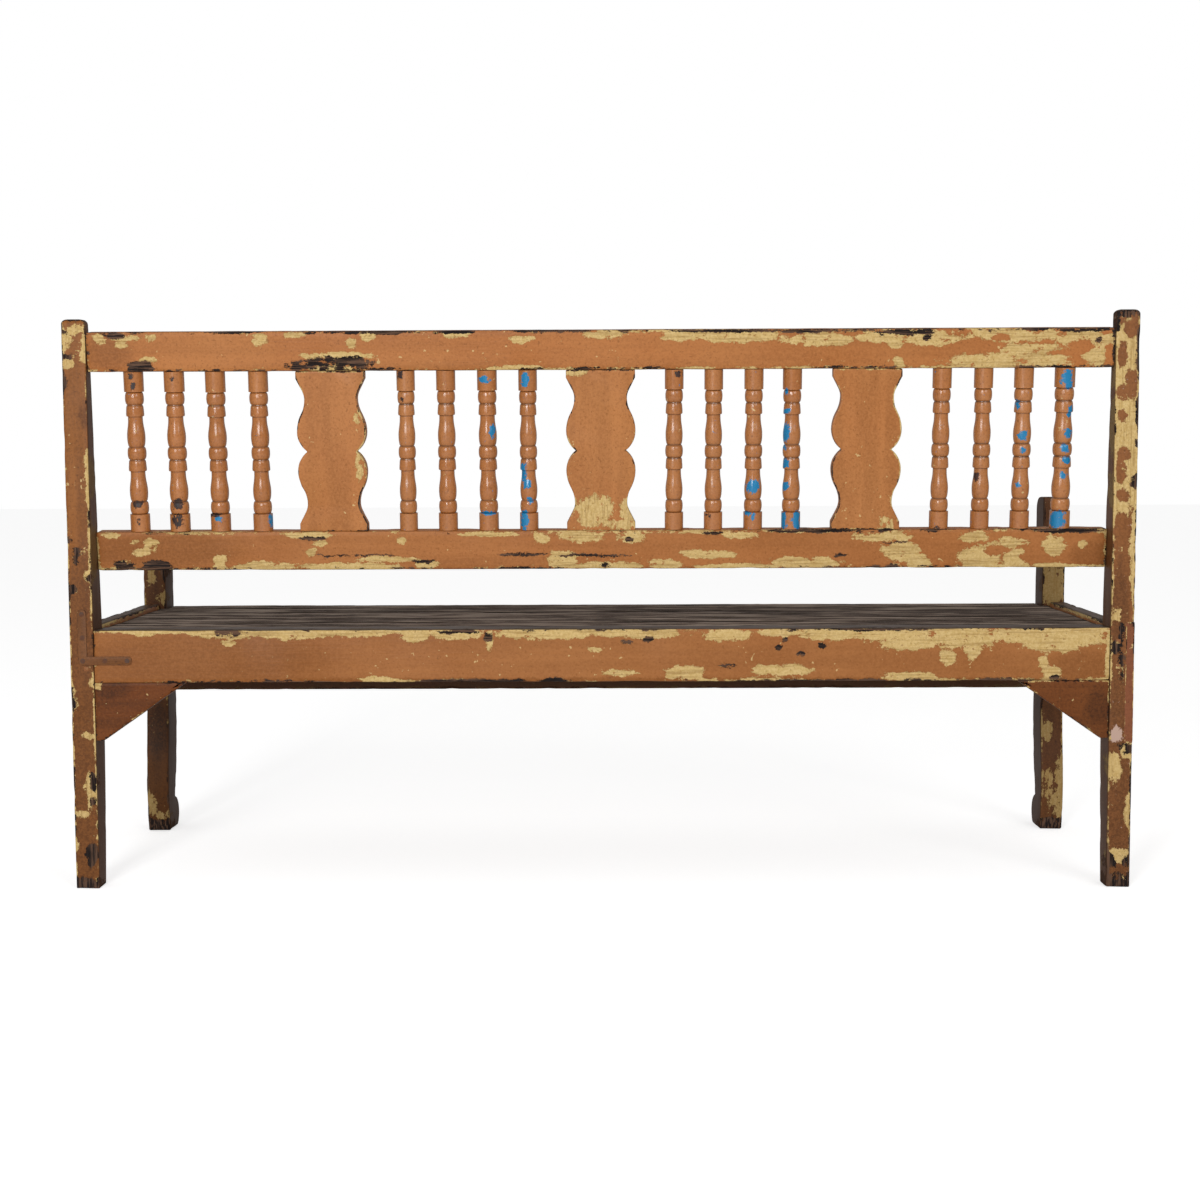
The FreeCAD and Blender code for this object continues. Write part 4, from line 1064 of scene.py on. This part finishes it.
@dataclass
class BackRails:
    """The raked top rail and lower rail of the back."""

    top_height: float = 0.0675
    lower_height: float = 0.0675
    opening: float = 0.2755
    thickness: float = 0.034
    gap: float = 0.1007
    wear: Wear = Wear(0.0035, 0.0022)

    def lean(self) -> Matrix:
        """Return the turn and shift from the upright drawing to the raked back."""
        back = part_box("rear_leg_left")[0].y
        drop = (self.top_height + self.opening + self.lower_height) * math.cos(BACK_RAKE)
        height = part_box("rear_seat_rail")[1].z + self.gap + drop
        return Matrix.Translation((0, back, height)) @ Matrix.Rotation(BACK_RAKE, 4, "X")

    def build(self, paints: Paints) -> None:
        """Make both rails from the finishes by name."""
        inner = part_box("rear_leg_right")[0].x
        lower_top = -(self.top_height + self.opening)
        rails = (("top_rail", 0.0, -self.top_height, 1.0),
                 ("lower_back_rail", lower_top, lower_top - self.lower_height, 2.0))
        for name, high, low, seed in rails:
            shape = board(Vector((-inner, 0, low)), Vector((inner, self.thickness, high)), self.wear, seed)
            bmesh.ops.transform(shape, matrix=self.lean(), verts=shape.verts)
            placed(shape, name.replace("_rail", "_rail_board"), paints[name], "paint_rails", name)


class Turning(Enum):
    """The shapes that follow each other down a spindle."""

    PLAIN = "plain"
    BEAD = "bead"
    REEL = "reel"
    VASE = "vase"


RINGS = {Turning.PLAIN: 4, Turning.BEAD: 14, Turning.REEL: 10, Turning.VASE: 22}


@dataclass
class Spindles:
    """Sixteen turned spindles, each a little different from its neighbours.

    girths holds how thick each spindle is against the usual one, from left to right.
    """

    radius: float = 0.0165
    bead: float = 0.0156
    groove: float = 0.0127
    neck: float = 0.0122
    reel: float = 0.0150
    belly: float = 0.0152
    plain_top: float = 0.035
    plain_bottom: float = 0.030
    bead_length: float = 0.022
    reel_length: float = 0.020
    belly_share: float = 0.66
    most_stretch: float = 0.002
    wobble: float = 0.010
    steps: int = 36
    count: int = 16
    girths: tuple[float, ...] = (1.02, 1.05, 1.04, 1.02, 0.95, 1.0, 1.03, 0.97,
                                 0.97, 0.97, 0.99, 0.99, 0.98, 0.97, 1.0, 1.05)

    def _bead(self, part: float) -> Pair:
        """Return a bead's radius and its grime and painted shade: nearly a half round between two grooves.
        """
        side = abs(2 * part - 1)
        round_part = max(0.0, 1 - side ** 2.2) ** 0.6
        return self.groove + (self.bead - self.groove) * round_part, max(0.0, side - 0.8) * 3.5

    def _reel(self, part: float) -> Pair:
        """Return a reel's radius and its grime and painted shade: a drum that leaves the groove fast and
        ends in a step.
        """
        rise = min(1.0, part / 0.22)
        swell = 0.5 * (1 - math.cos(math.pi * min(1.0, part * 1.1)))
        lip = max(0.0, (part - 0.86) / 0.14)
        radius = self.groove + (self.reel - self.groove) * (0.62 * rise ** 0.6 + 0.38 * swell)
        return radius - 0.0006 * lip ** 2, max(0.0, 1 - part / 0.16)

    def _vase(self, part: float) -> Pair:
        """Return a vase's radius and its grime and painted shade: a slim neck, a full belly, a quick turn
        into the groove.
        """
        share = self.belly_share
        grime_and_shade = max(0.0, 0.6 - part / 0.04) + max(0.0, (part - 0.95) / 0.06)
        if part <= share:
            rise = 0.5 - 0.5 * math.cos(math.pi * min(1.0, part / share))
            return self.neck + (self.belly - self.neck) * rise ** 1.5, grime_and_shade
        fall = (part - share) / (1 - share)
        drop = max(0.0, 1 - fall ** 2.3) ** 0.75
        return self.groove + (self.belly - self.groove) * drop, grime_and_shade

    def _plain(self, part: float) -> Pair:
        """Return the plain end's radius, free of grime and painted shade all along."""
        return self.radius, 0.0

    def profile(self, opening: float, stretch: float) -> list[tuple[float, float, float]]:
        """Work out the turning from its top shoulder down.

        Args:
            opening: The distance between the rails.
            stretch: How much longer than usual this spindle's top part is.

        Returns:
            The drop, the radius and the grime and painted shade of each ring.
        """
        fixed = self.plain_top + self.plain_bottom + 3 * self.bead_length + 2 * self.reel_length
        vase = (opening - fixed) / 2
        lengths = {Turning.BEAD: self.bead_length, Turning.REEL: self.reel_length,
                   Turning.VASE: vase - stretch / 2}
        radii = {Turning.PLAIN: self._plain, Turning.BEAD: self._bead, Turning.REEL: self._reel,
                 Turning.VASE: self._vase}
        order = [(Turning.PLAIN, self.plain_top + stretch)]
        order += [(shape, lengths[shape]) for shape in (Turning.BEAD, Turning.REEL, Turning.VASE) * 2]
        order += [(Turning.BEAD, self.bead_length), (Turning.PLAIN, self.plain_bottom)]
        points = []
        drop = 0.0
        for shape, length in order:
            for step in range(RINGS[shape] + 1):
                part = step / RINGS[shape]
                inside = min(max(part * length, RING_MARGIN), length - RING_MARGIN)
                points.append((drop + inside, *radii[shape](part)))
            drop += length
        return points

    def _one(self, x: float, number: int, lean: Matrix, rails: BackRails) -> BMesh:
        """Spin one spindle about its axis and set it between the rails.

        Args:
            x: The middle of the spindle along the bench.
            number: Which spindle it is, counted from the left.
            lean: The turn and shift of the raked back.
            rails: The rails that hold it.

        Returns:
            The spindle.
        """
        shape = bmesh.new()
        hollow = shape.verts.layers.float.new(HOLLOW)
        stretch = self.most_stretch * noise.noise(Vector((number * 1.7, 0.4, 0.1)))
        girth = self.girths[number - 1]
        chain = [shape.verts.new((0, 0, 0))]
        for drop, radius, grime_and_shade in self.profile(rails.opening, stretch):
            uneven = 1 + self.wobble * noise.noise(Vector((number * 3.1, drop * 40, 1.9)))
            chain.append(shape.verts.new((radius * girth * uneven, 0, -drop)))
            chain[-1][hollow] = min(1.0, grime_and_shade)
        chain.append(shape.verts.new((0, 0, -rails.opening)))
        edges = [shape.edges.new(pair) for pair in zip(chain, chain[1:])]
        bmesh.ops.spin(shape, geom=chain + edges, cent=(0, 0, 0), axis=(0, 0, 1), dvec=(0, 0, 0),
                       angle=2 * math.pi, steps=self.steps, use_merge=True, use_duplicate=False)
        bmesh.ops.remove_doubles(shape, verts=shape.verts, dist=MERGED)
        bmesh.ops.recalc_face_normals(shape, faces=shape.faces)
        seat = Matrix.Translation((x, rails.thickness / 2, -rails.top_height))
        bmesh.ops.transform(shape, matrix=lean @ seat, verts=shape.verts)
        return shape

    def build(self, paints: Paints, rails: BackRails) -> None:
        """Make every spindle where its CAD node stands.

        Args:
            paints: The finishes by name.
            rails: The rails that hold the spindles.
        """
        for number in range(1, self.count + 1):
            name = f"spindle_{number:02d}"
            low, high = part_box(name)
            shape = self._one((low.x + high.x) / 2, number, rails.lean(), rails)
            placed(shape, f"turned_{name}", paints["turnings"], "paint_turnings", name)


@dataclass
class Splats:
    """Three flat splats with wavy edges that meet in a cusp halfway up."""

    end: float = 0.059
    waist: float = 0.045
    lobe: float = 0.0595
    cusp: float = 0.0425
    edge_height: float = 0.013
    waist_drop: float = 0.048
    lobe_drop: float = 0.104
    slope: float = math.radians(27)
    thickness: float = 0.020
    back_set: float = 0.002
    step: float = 0.01
    wear: Wear = Wear(0.0016, 0.0012, 0.004)
    seed: float = 20.0

    def _quarter(self, half_opening: float) -> list[Vector]:
        """Return one quarter of the outline from the top corner down to the cusp."""
        rise = self.waist_drop - self.edge_height
        out = self.end - self.waist
        radius = (rise * math.tan(self.slope) - out) / (
            math.sin(self.slope) * math.tan(self.slope) - 1 + math.cos(self.slope))
        shoulder = Vector((self.waist + radius * (1 - math.cos(self.slope)),
                           half_opening - self.waist_drop + radius * math.sin(self.slope)))
        waist = Vector((self.waist, half_opening - self.waist_drop))
        lobe = Vector((self.lobe, half_opening - self.lobe_drop))
        swap = waist.lerp(lobe, 0.45)
        points = [Vector((self.end, half_opening)), Vector((self.end, half_opening - self.edge_height))]
        points += sweep_back(waist, UP, shoulder, 6) + sweep(waist, DOWN, swap, 6)
        points += sweep_back(lobe, UP, swap, 6)[1:] + sweep(lobe, DOWN, Vector((self.cusp, 0)), 7)
        return points

    def _outline(self, opening: float) -> list[Vector]:
        """Return the whole outline, mirrored from one quarter."""
        quarter = self._quarter(opening / 2)
        side = quarter + [Vector((point.x, -point.y)) for point in reversed(quarter[:-1])]
        other = [Vector((-point.x, point.y)) for point in reversed(side)]
        return divided(side + other, self.step)

    def build(self, paints: Paints, rails: BackRails) -> None:
        """Make the three splats between the rails.

        Args:
            paints: The finishes by name.
            rails: The rails that hold the splats.
        """
        middle = -(rails.top_height + rails.opening / 2)
        for number, name in enumerate(("splat_left", "splat_centre", "splat_right")):
            low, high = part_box(name)
            origin = Vector(((low.x + high.x) / 2, self.back_set, middle))
            shape = sawn(self._outline(rails.opening), View.BACK, origin, self.thickness, self.wear,
                         self.seed + number)
            bmesh.ops.transform(shape, matrix=rails.lean(), verts=shape.verts)
            placed(shape, f"shaped_{name}", paints["splats"], "paint_splats", name)


@dataclass
class SeatFrame:
    """The seat's rails, bearers and cleats, with the brackets under the rear rail."""

    rear_wear: Wear = Wear(0.0025, 0.0025)
    rear_seed: float = 3.0
    front_seed: float = 5.0
    rail_wear: Wear = Wear(0.0025, 0.002)
    side_back: float = 0.003
    side_front: float = 0.014
    bracket_tip: float = 0.013
    bracket_wear: Wear = Wear(0.002, 0.002)
    bracket_seed: float = 31.5

    def build(self, paints: Paints) -> None:
        """Make the rails and brackets and dress what stays from the frame."""
        self._across("rear", self.rear_wear, self.rear_seed, paints["rear_seat_rail"], "paint_rails")
        self._side_rails(paints["side_rails"])
        self._across("front", self.rail_wear, self.front_seed, paints["front_rail"], "paint_sides")
        for side, word in SIDES:
            self._bracket(side, f"bracket_{word}", paints["brackets"])
        dress(["slat_cleat_left", "slat_cleat_right", "cross_bearer_left", "cross_bearer_centre",
               "cross_bearer_right"], paints["raw_wood"])
        dress(["bracket_nails"], paints["iron"])

    def _across(self, end: str, wear: Wear, seed: float, finish: Material, slot: str) -> None:
        """Make the deep rear or front rail between its two legs.

        Args:
            end: "rear" or "front".
            wear: How the rail's edges are worn.
            seed: Moves the pattern of knocks.
            finish: Its material.
            slot: The record's material slot.
        """
        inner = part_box(f"{end}_leg_right")[0].x
        low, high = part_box(f"{end}_seat_rail")
        shape = board(Vector((-inner, low.y, low.z)), Vector((inner, high.y, high.z)), wear, seed)
        placed(shape, f"{end}_rail_board", finish, slot, f"{end}_seat_rail")

    def _side_rails(self, finish: Material) -> None:
        """Make the two side rails between the legs, without their tenons."""
        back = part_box("seat_slat_1")[0].y - self.side_back
        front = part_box("front_leg_left")[0].y + self.side_front
        for name in ("side_seat_rail_left", "side_seat_rail_right"):
            low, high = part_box(name)
            shape = board(Vector((low.x, back, low.z)), Vector((high.x, front, high.z)),
                          self.rail_wear, len(name))
            placed(shape, name.replace("seat_rail", "rail_board"), finish, "paint_sides", name)

    def _bracket(self, side: int, name: str, finish: Material) -> None:
        """Make one triangular bracket, blunt at its lower tip."""
        low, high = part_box(name)
        wide, drop = high.x - low.x, high.z - low.z
        corners = ((0, 0), (wide, 0), (self.bracket_tip, -drop), (0, -drop))
        outline = [Vector((-side * x, z)) for x, z in corners]
        origin = Vector((low.x if side < 0 else high.x, low.y, high.z))
        shape = sawn(divided(outline), View.BACK, origin, high.y - low.y, self.bracket_wear,
                     self.bracket_seed + side / 2)
        placed(shape, f"corner_{name}", finish, "paint_brackets", name)


@dataclass
class SeatSlats:
    """Five lengthwise slats of weathered board, each a little hollow from use."""

    count: int = 5
    wear: Wear = Wear(0.003, 0.002)
    seed: float = 40.0
    hollowing: float = 0.0012
    top_band: float = 0.006
    notch: float = 0.0155
    leg_gap: float = 0.001

    def build(self, paints: Paints) -> None:
        """Make the slats; the front one is notched round the front legs."""
        for number in range(1, self.count + 1):
            name = f"seat_slat_{number}"
            low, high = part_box(name)
            make = self._front_slat if number == self.count else board
            shape = make(low, high, self.wear, self.seed + number)
            self._hollow(shape, low, high)
            placed(shape, f"worn_{name}", paints[f"slat_{number % 2}"], "worn_seat_wood", name)

    def _hollow(self, shape: BMesh, low: Vector, high: Vector) -> None:
        """Wear the top of a slat down slightly in long waves."""
        for vertex in shape.verts:
            if vertex.co.z > high.z - self.top_band:
                wave = noise.noise(Vector((vertex.co.x * 3.1, low.y * 9, 2.2)))
                vertex.co.z -= self.hollowing * (0.5 + wave)

    def _front_slat(self, low: Vector, high: Vector, wear: Wear, seed: float) -> BMesh:
        """Make the front slat, which is a board notched round the front legs."""
        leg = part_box("front_leg_right")[0].x - self.leg_gap
        wide, deep = high.x, high.y - low.y
        corners = ((-wide, 0), (wide, 0), (wide, self.notch), (leg, self.notch), (leg, deep),
                   (-leg, deep), (-leg, self.notch), (-wide, self.notch))
        return sawn(divided([Vector(corner) for corner in corners], BOARD_STEP), View.TOP,
                    Vector((0, low.y, low.z)), high.z - low.z, wear, seed)


@dataclass
class Fastenings:
    """The corner iron with its screws, and the square pegs of the joints."""

    iron_width: float = 0.015
    iron_thickness: float = 0.0019
    iron_round: float = 0.006
    iron_wear: Wear = Wear(0.0004, 0.0002, 0.0006)
    iron_seed: float = 50.0
    screw_radius: float = 0.0042
    screw_rim: float = 0.0009
    screw_dome: float = 0.0002
    screw_stand: float = 0.0003
    screw_thickness: float = 0.0006
    screw_edge: float = 0.008
    peg_stand: float = 0.0003
    peg_arris: float = 0.0008

    def build(self, paints: Paints) -> None:
        """Make the iron, its screws and the pegs."""
        low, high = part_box("corner_iron")
        self._iron(low, high, paints["corner_iron"])
        self._screws(low, high, paints["iron"])
        self._pegs(paints["pegs"])

    def _iron(self, low: Vector, high: Vector, finish: Material) -> None:
        """Make the flat L with round ends."""
        wide, tall = high.x - low.x, high.z - low.z
        bar, bend = self.iron_width, self.iron_round
        points = [Vector((bend, 0)), Vector((wide - bend, 0))]
        points += sweep(points[-1], RIGHT, Vector((wide, bend)))
        points += [Vector((wide, bar - bend))]
        points += sweep(points[-1], UP, Vector((wide - bend, bar)))
        points += [Vector((bar, bar)), Vector((bar, tall - bend))]
        points += sweep(points[-1], UP, Vector((bar - bend, tall)))
        points += [Vector((bend, tall))]
        points += sweep(points[-1], LEFT, Vector((0, tall - bend)))
        points += [Vector((0, bend))]
        points += sweep(points[-1], DOWN, Vector((bend, 0)))[:-1]
        shape = sawn(points, View.BACK, Vector((low.x, high.y - self.iron_thickness, low.z)),
                     self.iron_thickness, self.iron_wear, self.iron_seed)
        placed(shape, "painted_corner_iron", finish, "painted_iron", "corner_iron")

    def _screws(self, low: Vector, high: Vector, finish: Material) -> None:
        """Make the five screw heads of the iron as one piece."""
        middle_x = low.x + self.iron_width / 2
        middle_z = low.z + self.iron_width / 2
        top = high.z - self.screw_edge
        end = high.x - self.screw_edge
        places = [(middle_x, top), (middle_x, (top + middle_z) / 2), (middle_x, middle_z),
                  ((middle_x + end) / 2, middle_z), (end, middle_z)]
        shape = bmesh.new()
        face_y = high.y - self.iron_thickness - self.screw_stand
        for x, z in places:
            seat = Matrix.Translation((x, face_y, z)) @ Matrix.Rotation(math.pi / 2, 4, "X")
            made = bmesh.ops.create_circle(shape, cap_ends=True, segments=18, radius=self.screw_radius,
                                           matrix=seat)
            cap = {face for vertex in made["verts"] for face in vertex.link_faces}
            bmesh.ops.inset_region(shape, faces=list(cap), thickness=self.screw_rim,
                                   depth=self.screw_dome)
        bmesh.ops.solidify(shape, geom=shape.faces[:], thickness=self.screw_thickness)
        bmesh.ops.recalc_face_normals(shape, faces=shape.faces)
        placed(shape, "iron_screw_heads", finish, "nail_iron")

    def _pegs(self, finish: Material) -> None:
        """Make the joint pegs as small square blocks that stand a hair proud of the legs."""
        leg_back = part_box("rear_leg_right")[0].y
        copy = bmesh.new()
        copy.from_mesh(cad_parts["joint_pegs"].data)
        bmesh.ops.remove_doubles(copy, verts=copy.verts, dist=MERGED)
        bmesh.ops.dissolve_limit(copy, angle_limit=0.02, verts=copy.verts, edges=copy.edges)
        for vertex in copy.verts:
            if abs(vertex.co.y - leg_back) < CLOSE:
                vertex.co.y -= self.peg_stand
        soften(copy, self.peg_arris)
        placed(copy, "joint_peg_ends", finish, "paint_rails", "joint_pegs")


@dataclass
class Studio:
    """A plain pale floor, an even white world and two soft lamps."""

    floor_size: float = 40.0
    floor_colour: Colour = (0.86, 0.86, 0.86, 1)
    floor_glow: float = 0.62
    sky_strength: float = 0.38
    key_place: Triple = (-1.25, -4.6, 1.75)
    key_size: Pair = (1.0, 1.9)
    key_power: float = 104.0
    fill_place: Triple = (2.6, -4.2, 2.4)
    fill_size: Pair = (2.0, 2.0)
    fill_power: float = 52.0
    target: Triple = (0, 0, 0.5)

    def build(self) -> None:
        """Make the floor, the world and the lamps."""
        self._floor()
        self._world()
        self._lamp("key", Vector(self.key_place), self.key_size, self.key_power)
        self._lamp("fill", Vector(self.fill_place), self.fill_size, self.fill_power)
        bpy.context.scene.view_settings.view_transform = "Standard"

    def _floor(self) -> None:
        """Make the floor, white to the camera but for the bench's shadow."""
        shape = bmesh.new()
        bmesh.ops.create_grid(shape, x_segments=1, y_segments=1, size=self.floor_size / 2)
        mesh = bpy.data.meshes.new("floor")
        shape.to_mesh(mesh)
        shape.free()
        floor = bpy.data.objects.new("floor", mesh)
        bpy.context.collection.objects.link(floor)
        finish, sheet = new_material("pale floor")
        surface = finish.node_tree.nodes["Principled BSDF"]
        sheet.feed(surface, {"Base Color": self.floor_colour, "Roughness": 0.9, "Specular IOR Level": 0.1})
        seen = sheet.put("ShaderNodeLightPath", {}).outputs["Is Camera Ray"]
        glow = sheet.put("ShaderNodeEmission", {"Strength": sheet.share(seen, self.floor_glow)})
        both = sheet.put("ShaderNodeAddShader", {0: surface.outputs["BSDF"], 1: glow.outputs[0]})
        sheet.feed(finish.node_tree.nodes["Material Output"], {"Surface": both.outputs[0]})
        mesh.materials.append(finish)

    def _world(self) -> None:
        """Make an even white world that the camera sees as pure white."""
        world = bpy.data.worlds.new("studio")
        bpy.context.scene.world = world
        world.use_nodes = True
        sheet = NodeSheet(world.node_tree)
        seen = sheet.put("ShaderNodeLightPath", {}).outputs["Is Camera Ray"]
        strength = sheet.sum("ADD", sheet.share(seen, 1 - self.sky_strength), self.sky_strength)
        sheet.feed(world.node_tree.nodes["Background"], {"Color": (1, 1, 1, 1), "Strength": strength})

    def _lamp(self, name: str, place: Vector, size: Pair, power: float) -> None:
        """Hang one lamp of this width and height that points at the bench's middle."""
        data = bpy.data.lights.new(name, "AREA")
        data.shape = "RECTANGLE"
        data.energy = power
        data.size, data.size_y = size
        lamp = bpy.data.objects.new(name, data)
        lamp.location = place
        lamp.rotation_euler = (Vector(self.target) - place).to_track_quat("-Z", "Y").to_euler()
        bpy.context.collection.objects.link(lamp)


def finishes(shelf: GroupShelf) -> Paints:
    """Build every finish of the bench.

    Args:
        shelf: The shared node groups.

    Returns:
        The materials by the names that the sub-assemblies use.
    """
    # Painted shade: the left front leg's coat is set darker than the right leg's copy because the seat
    # shades it, and both legs' inner sides are darkened to deep brown by the side setting.
    front_leg = FlakingPaint(
        "left front leg paint", Run.UPRIGHT, depth=FRONT_LEG_PLANE, wear=FRONT_LEG_WEAR_AND_SHADE,
        coat=(0.100, 0.034, 0.008, 1), pale=(0.135, 0.050, 0.013, 1), deep=(0.028, 0.011, 0.005, 1),
        under=(0.300, 0.190, 0.065, 1), under_pale=(0.400, 0.270, 0.110, 1), darkening=0.5, gloss=0.15,
        grime_and_shade=0.85, flaking=-0.15)
    made = {
        # The posts' coats are darker than the rails', partly their own colour and partly painted shade low
        # on the bench; their inner sides get painted shade in deep brown from the side setting.
        "rear_leg_left": FlakingPaint(
            "left post paint", Run.UPRIGHT, wear=LEFT_POST_WEAR_AND_SHADE, coat=(0.255, 0.088, 0.017, 1),
            pale=(0.300, 0.110, 0.026, 1), deep=(0.095, 0.031, 0.007, 1), darkening=0.45,
            grime_and_shade=0.8),
        "rear_leg_right": FlakingPaint(
            "right post paint", Run.UPRIGHT, wear=RIGHT_POST_WEAR_AND_SHADE, coat=(0.250, 0.090, 0.024, 1),
            pale=(0.300, 0.115, 0.035, 1), deep=(0.090, 0.032, 0.009, 1), darkening=0.45, flaking=-0.04,
            grime_and_shade=0.7, shade_way=TO_LEFT),
        "top_rail": FlakingPaint(
            "top rail paint", Run.ALONG, depth=TOP_RAIL_PLANE, wear=TOP_RAIL_WEAR_AND_SHADE),
        # Painted shade: the lower rail's and the seat rail's coats are set darker than the top rail's, as
        # light falls off towards the floor.
        "lower_back_rail": FlakingPaint(
            "lower rail paint", Run.ALONG, depth=LOWER_RAIL_PLANE, wear=LOWER_RAIL_WEAR_AND_SHADE,
            coat=(0.365, 0.130, 0.034, 1), pale=(0.430, 0.165, 0.048, 1)),
        "rear_seat_rail": FlakingPaint(
            "seat rail paint", Run.ALONG, wear=REAR_RAIL_WEAR_AND_SHADE, deep_reach=0.03,
            coat=(0.325, 0.117, 0.030, 1), pale=(0.385, 0.150, 0.043, 1), flaking=-0.08, bare_top=0.9),
        "splats": FlakingPaint(
            "splat paint", Run.UPRIGHT, depth=TURNING_PLANE, wear=SPLAT_WEAR, coat=(0.425, 0.156, 0.044, 1),
            pale=(0.480, 0.195, 0.060, 1), flaking=-0.16, roughness=0.36),
        "turnings": FlakingPaint(
            "spindle paint", Run.UPRIGHT, depth=TURNING_PLANE, wear=TURNING_WEAR, flaking=-0.22,
            chipping=-0.22, roughness=0.17, gloss=0.6, darkening=0.25, wood=(0.014, 0.004, 0.002, 1),
            wood_pale=(0.050, 0.014, 0.007, 1)),
        "front_leg_left": front_leg,
        "front_leg_right": replace(
            front_leg, name="right front leg paint", coat=(0.125, 0.044, 0.013, 1),
            pale=(0.160, 0.062, 0.020, 1), deep=(0.035, 0.014, 0.006, 1), shade_way=TO_LEFT, flaking=-0.12),
        # The brackets' dark coat is partly their own redder paint and partly painted shade, as they sit in
        # shade under the seat rail.
        "brackets": FlakingPaint(
            "bracket paint", Run.ALONG, wear=BRACKET_WEAR_AND_SHADE, coat=(0.145, 0.040, 0.008, 1),
            pale=(0.190, 0.060, 0.014, 1), deep=(0.050, 0.016, 0.005, 1), flaking=-0.3, darkening=0.5,
            gloss=0.15),
        "side_rails": FlakingPaint(
            "side rail paint", Run.ACROSS, coat=(0.300, 0.108, 0.036, 1), darkening=0.5, flaking=0.08,
            bare_top=0.85),
        # Painted shade: the front rail's back face, in shadow under the seat, is darkened to a deep brown by
        # the side setting.
        "front_rail": FlakingPaint(
            "front rail paint", Run.ALONG, coat=(0.300, 0.108, 0.036, 1), darkening=0.5, grime_and_shade=0.9,
            shade_way=TO_BACK, flaking=0.08, chipping=-0.15),
        "corner_iron": FlakingPaint(
            "iron paint", Run.ALONG, coat=(0.165, 0.058, 0.014, 1), pale=(0.205, 0.078, 0.022, 1),
            deep=(0.060, 0.024, 0.010, 1), flaking=-0.3, chipping=-0.1),
        "pegs": FlakingPaint(
            "peg paint", Run.UPRIGHT, coat=(0.270, 0.100, 0.032, 1), pale=(0.320, 0.125, 0.044, 1),
            deep=(0.100, 0.038, 0.014, 1), flaking=-0.15),
        "repair": FlakingPaint(
            "repair stain", Run.UPRIGHT, coat=(0.190, 0.058, 0.022, 1), pale=(0.250, 0.085, 0.036, 1),
            deep=(0.080, 0.026, 0.011, 1), flaking=-0.25, chipping=-0.05, roughness=0.5),
        "slat_0": WeatheredWood("weathered slat", Run.ALONG),
        "slat_1": WeatheredWood("weathered slat paler", Run.ALONG, middle=(0.150, 0.104, 0.080, 1)),
        "raw_wood": WeatheredWood(
            "sawn bearer wood", Run.ACROSS, dark=(0.07, 0.04, 0.022, 1), middle=(0.18, 0.11, 0.065, 1),
            pale=(0.27, 0.18, 0.11, 1)),
        "iron": RustedIron("rusted iron"),
    }
    return {name: finish.material(shelf) for name, finish in made.items()}


def main() -> None:
    """Build the bench, its studio and its camera."""
    logging.basicConfig(level=logging.INFO, format="%(name)s: %(message)s")
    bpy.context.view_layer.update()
    paints = finishes(GroupShelf())
    rails = BackRails()
    BackPosts().build(paints)
    FrontLegs().build(paints)
    rails.build(paints)
    Spindles().build(paints, rails)
    Splats().build(paints, rails)
    SeatFrame().build(paints)
    SeatSlats().build(paints)
    Fastenings().build(paints)
    Studio().build()
    CAMERA.build()
    LOG.info("the bench is built")


if __name__ == "__main__":
    main()
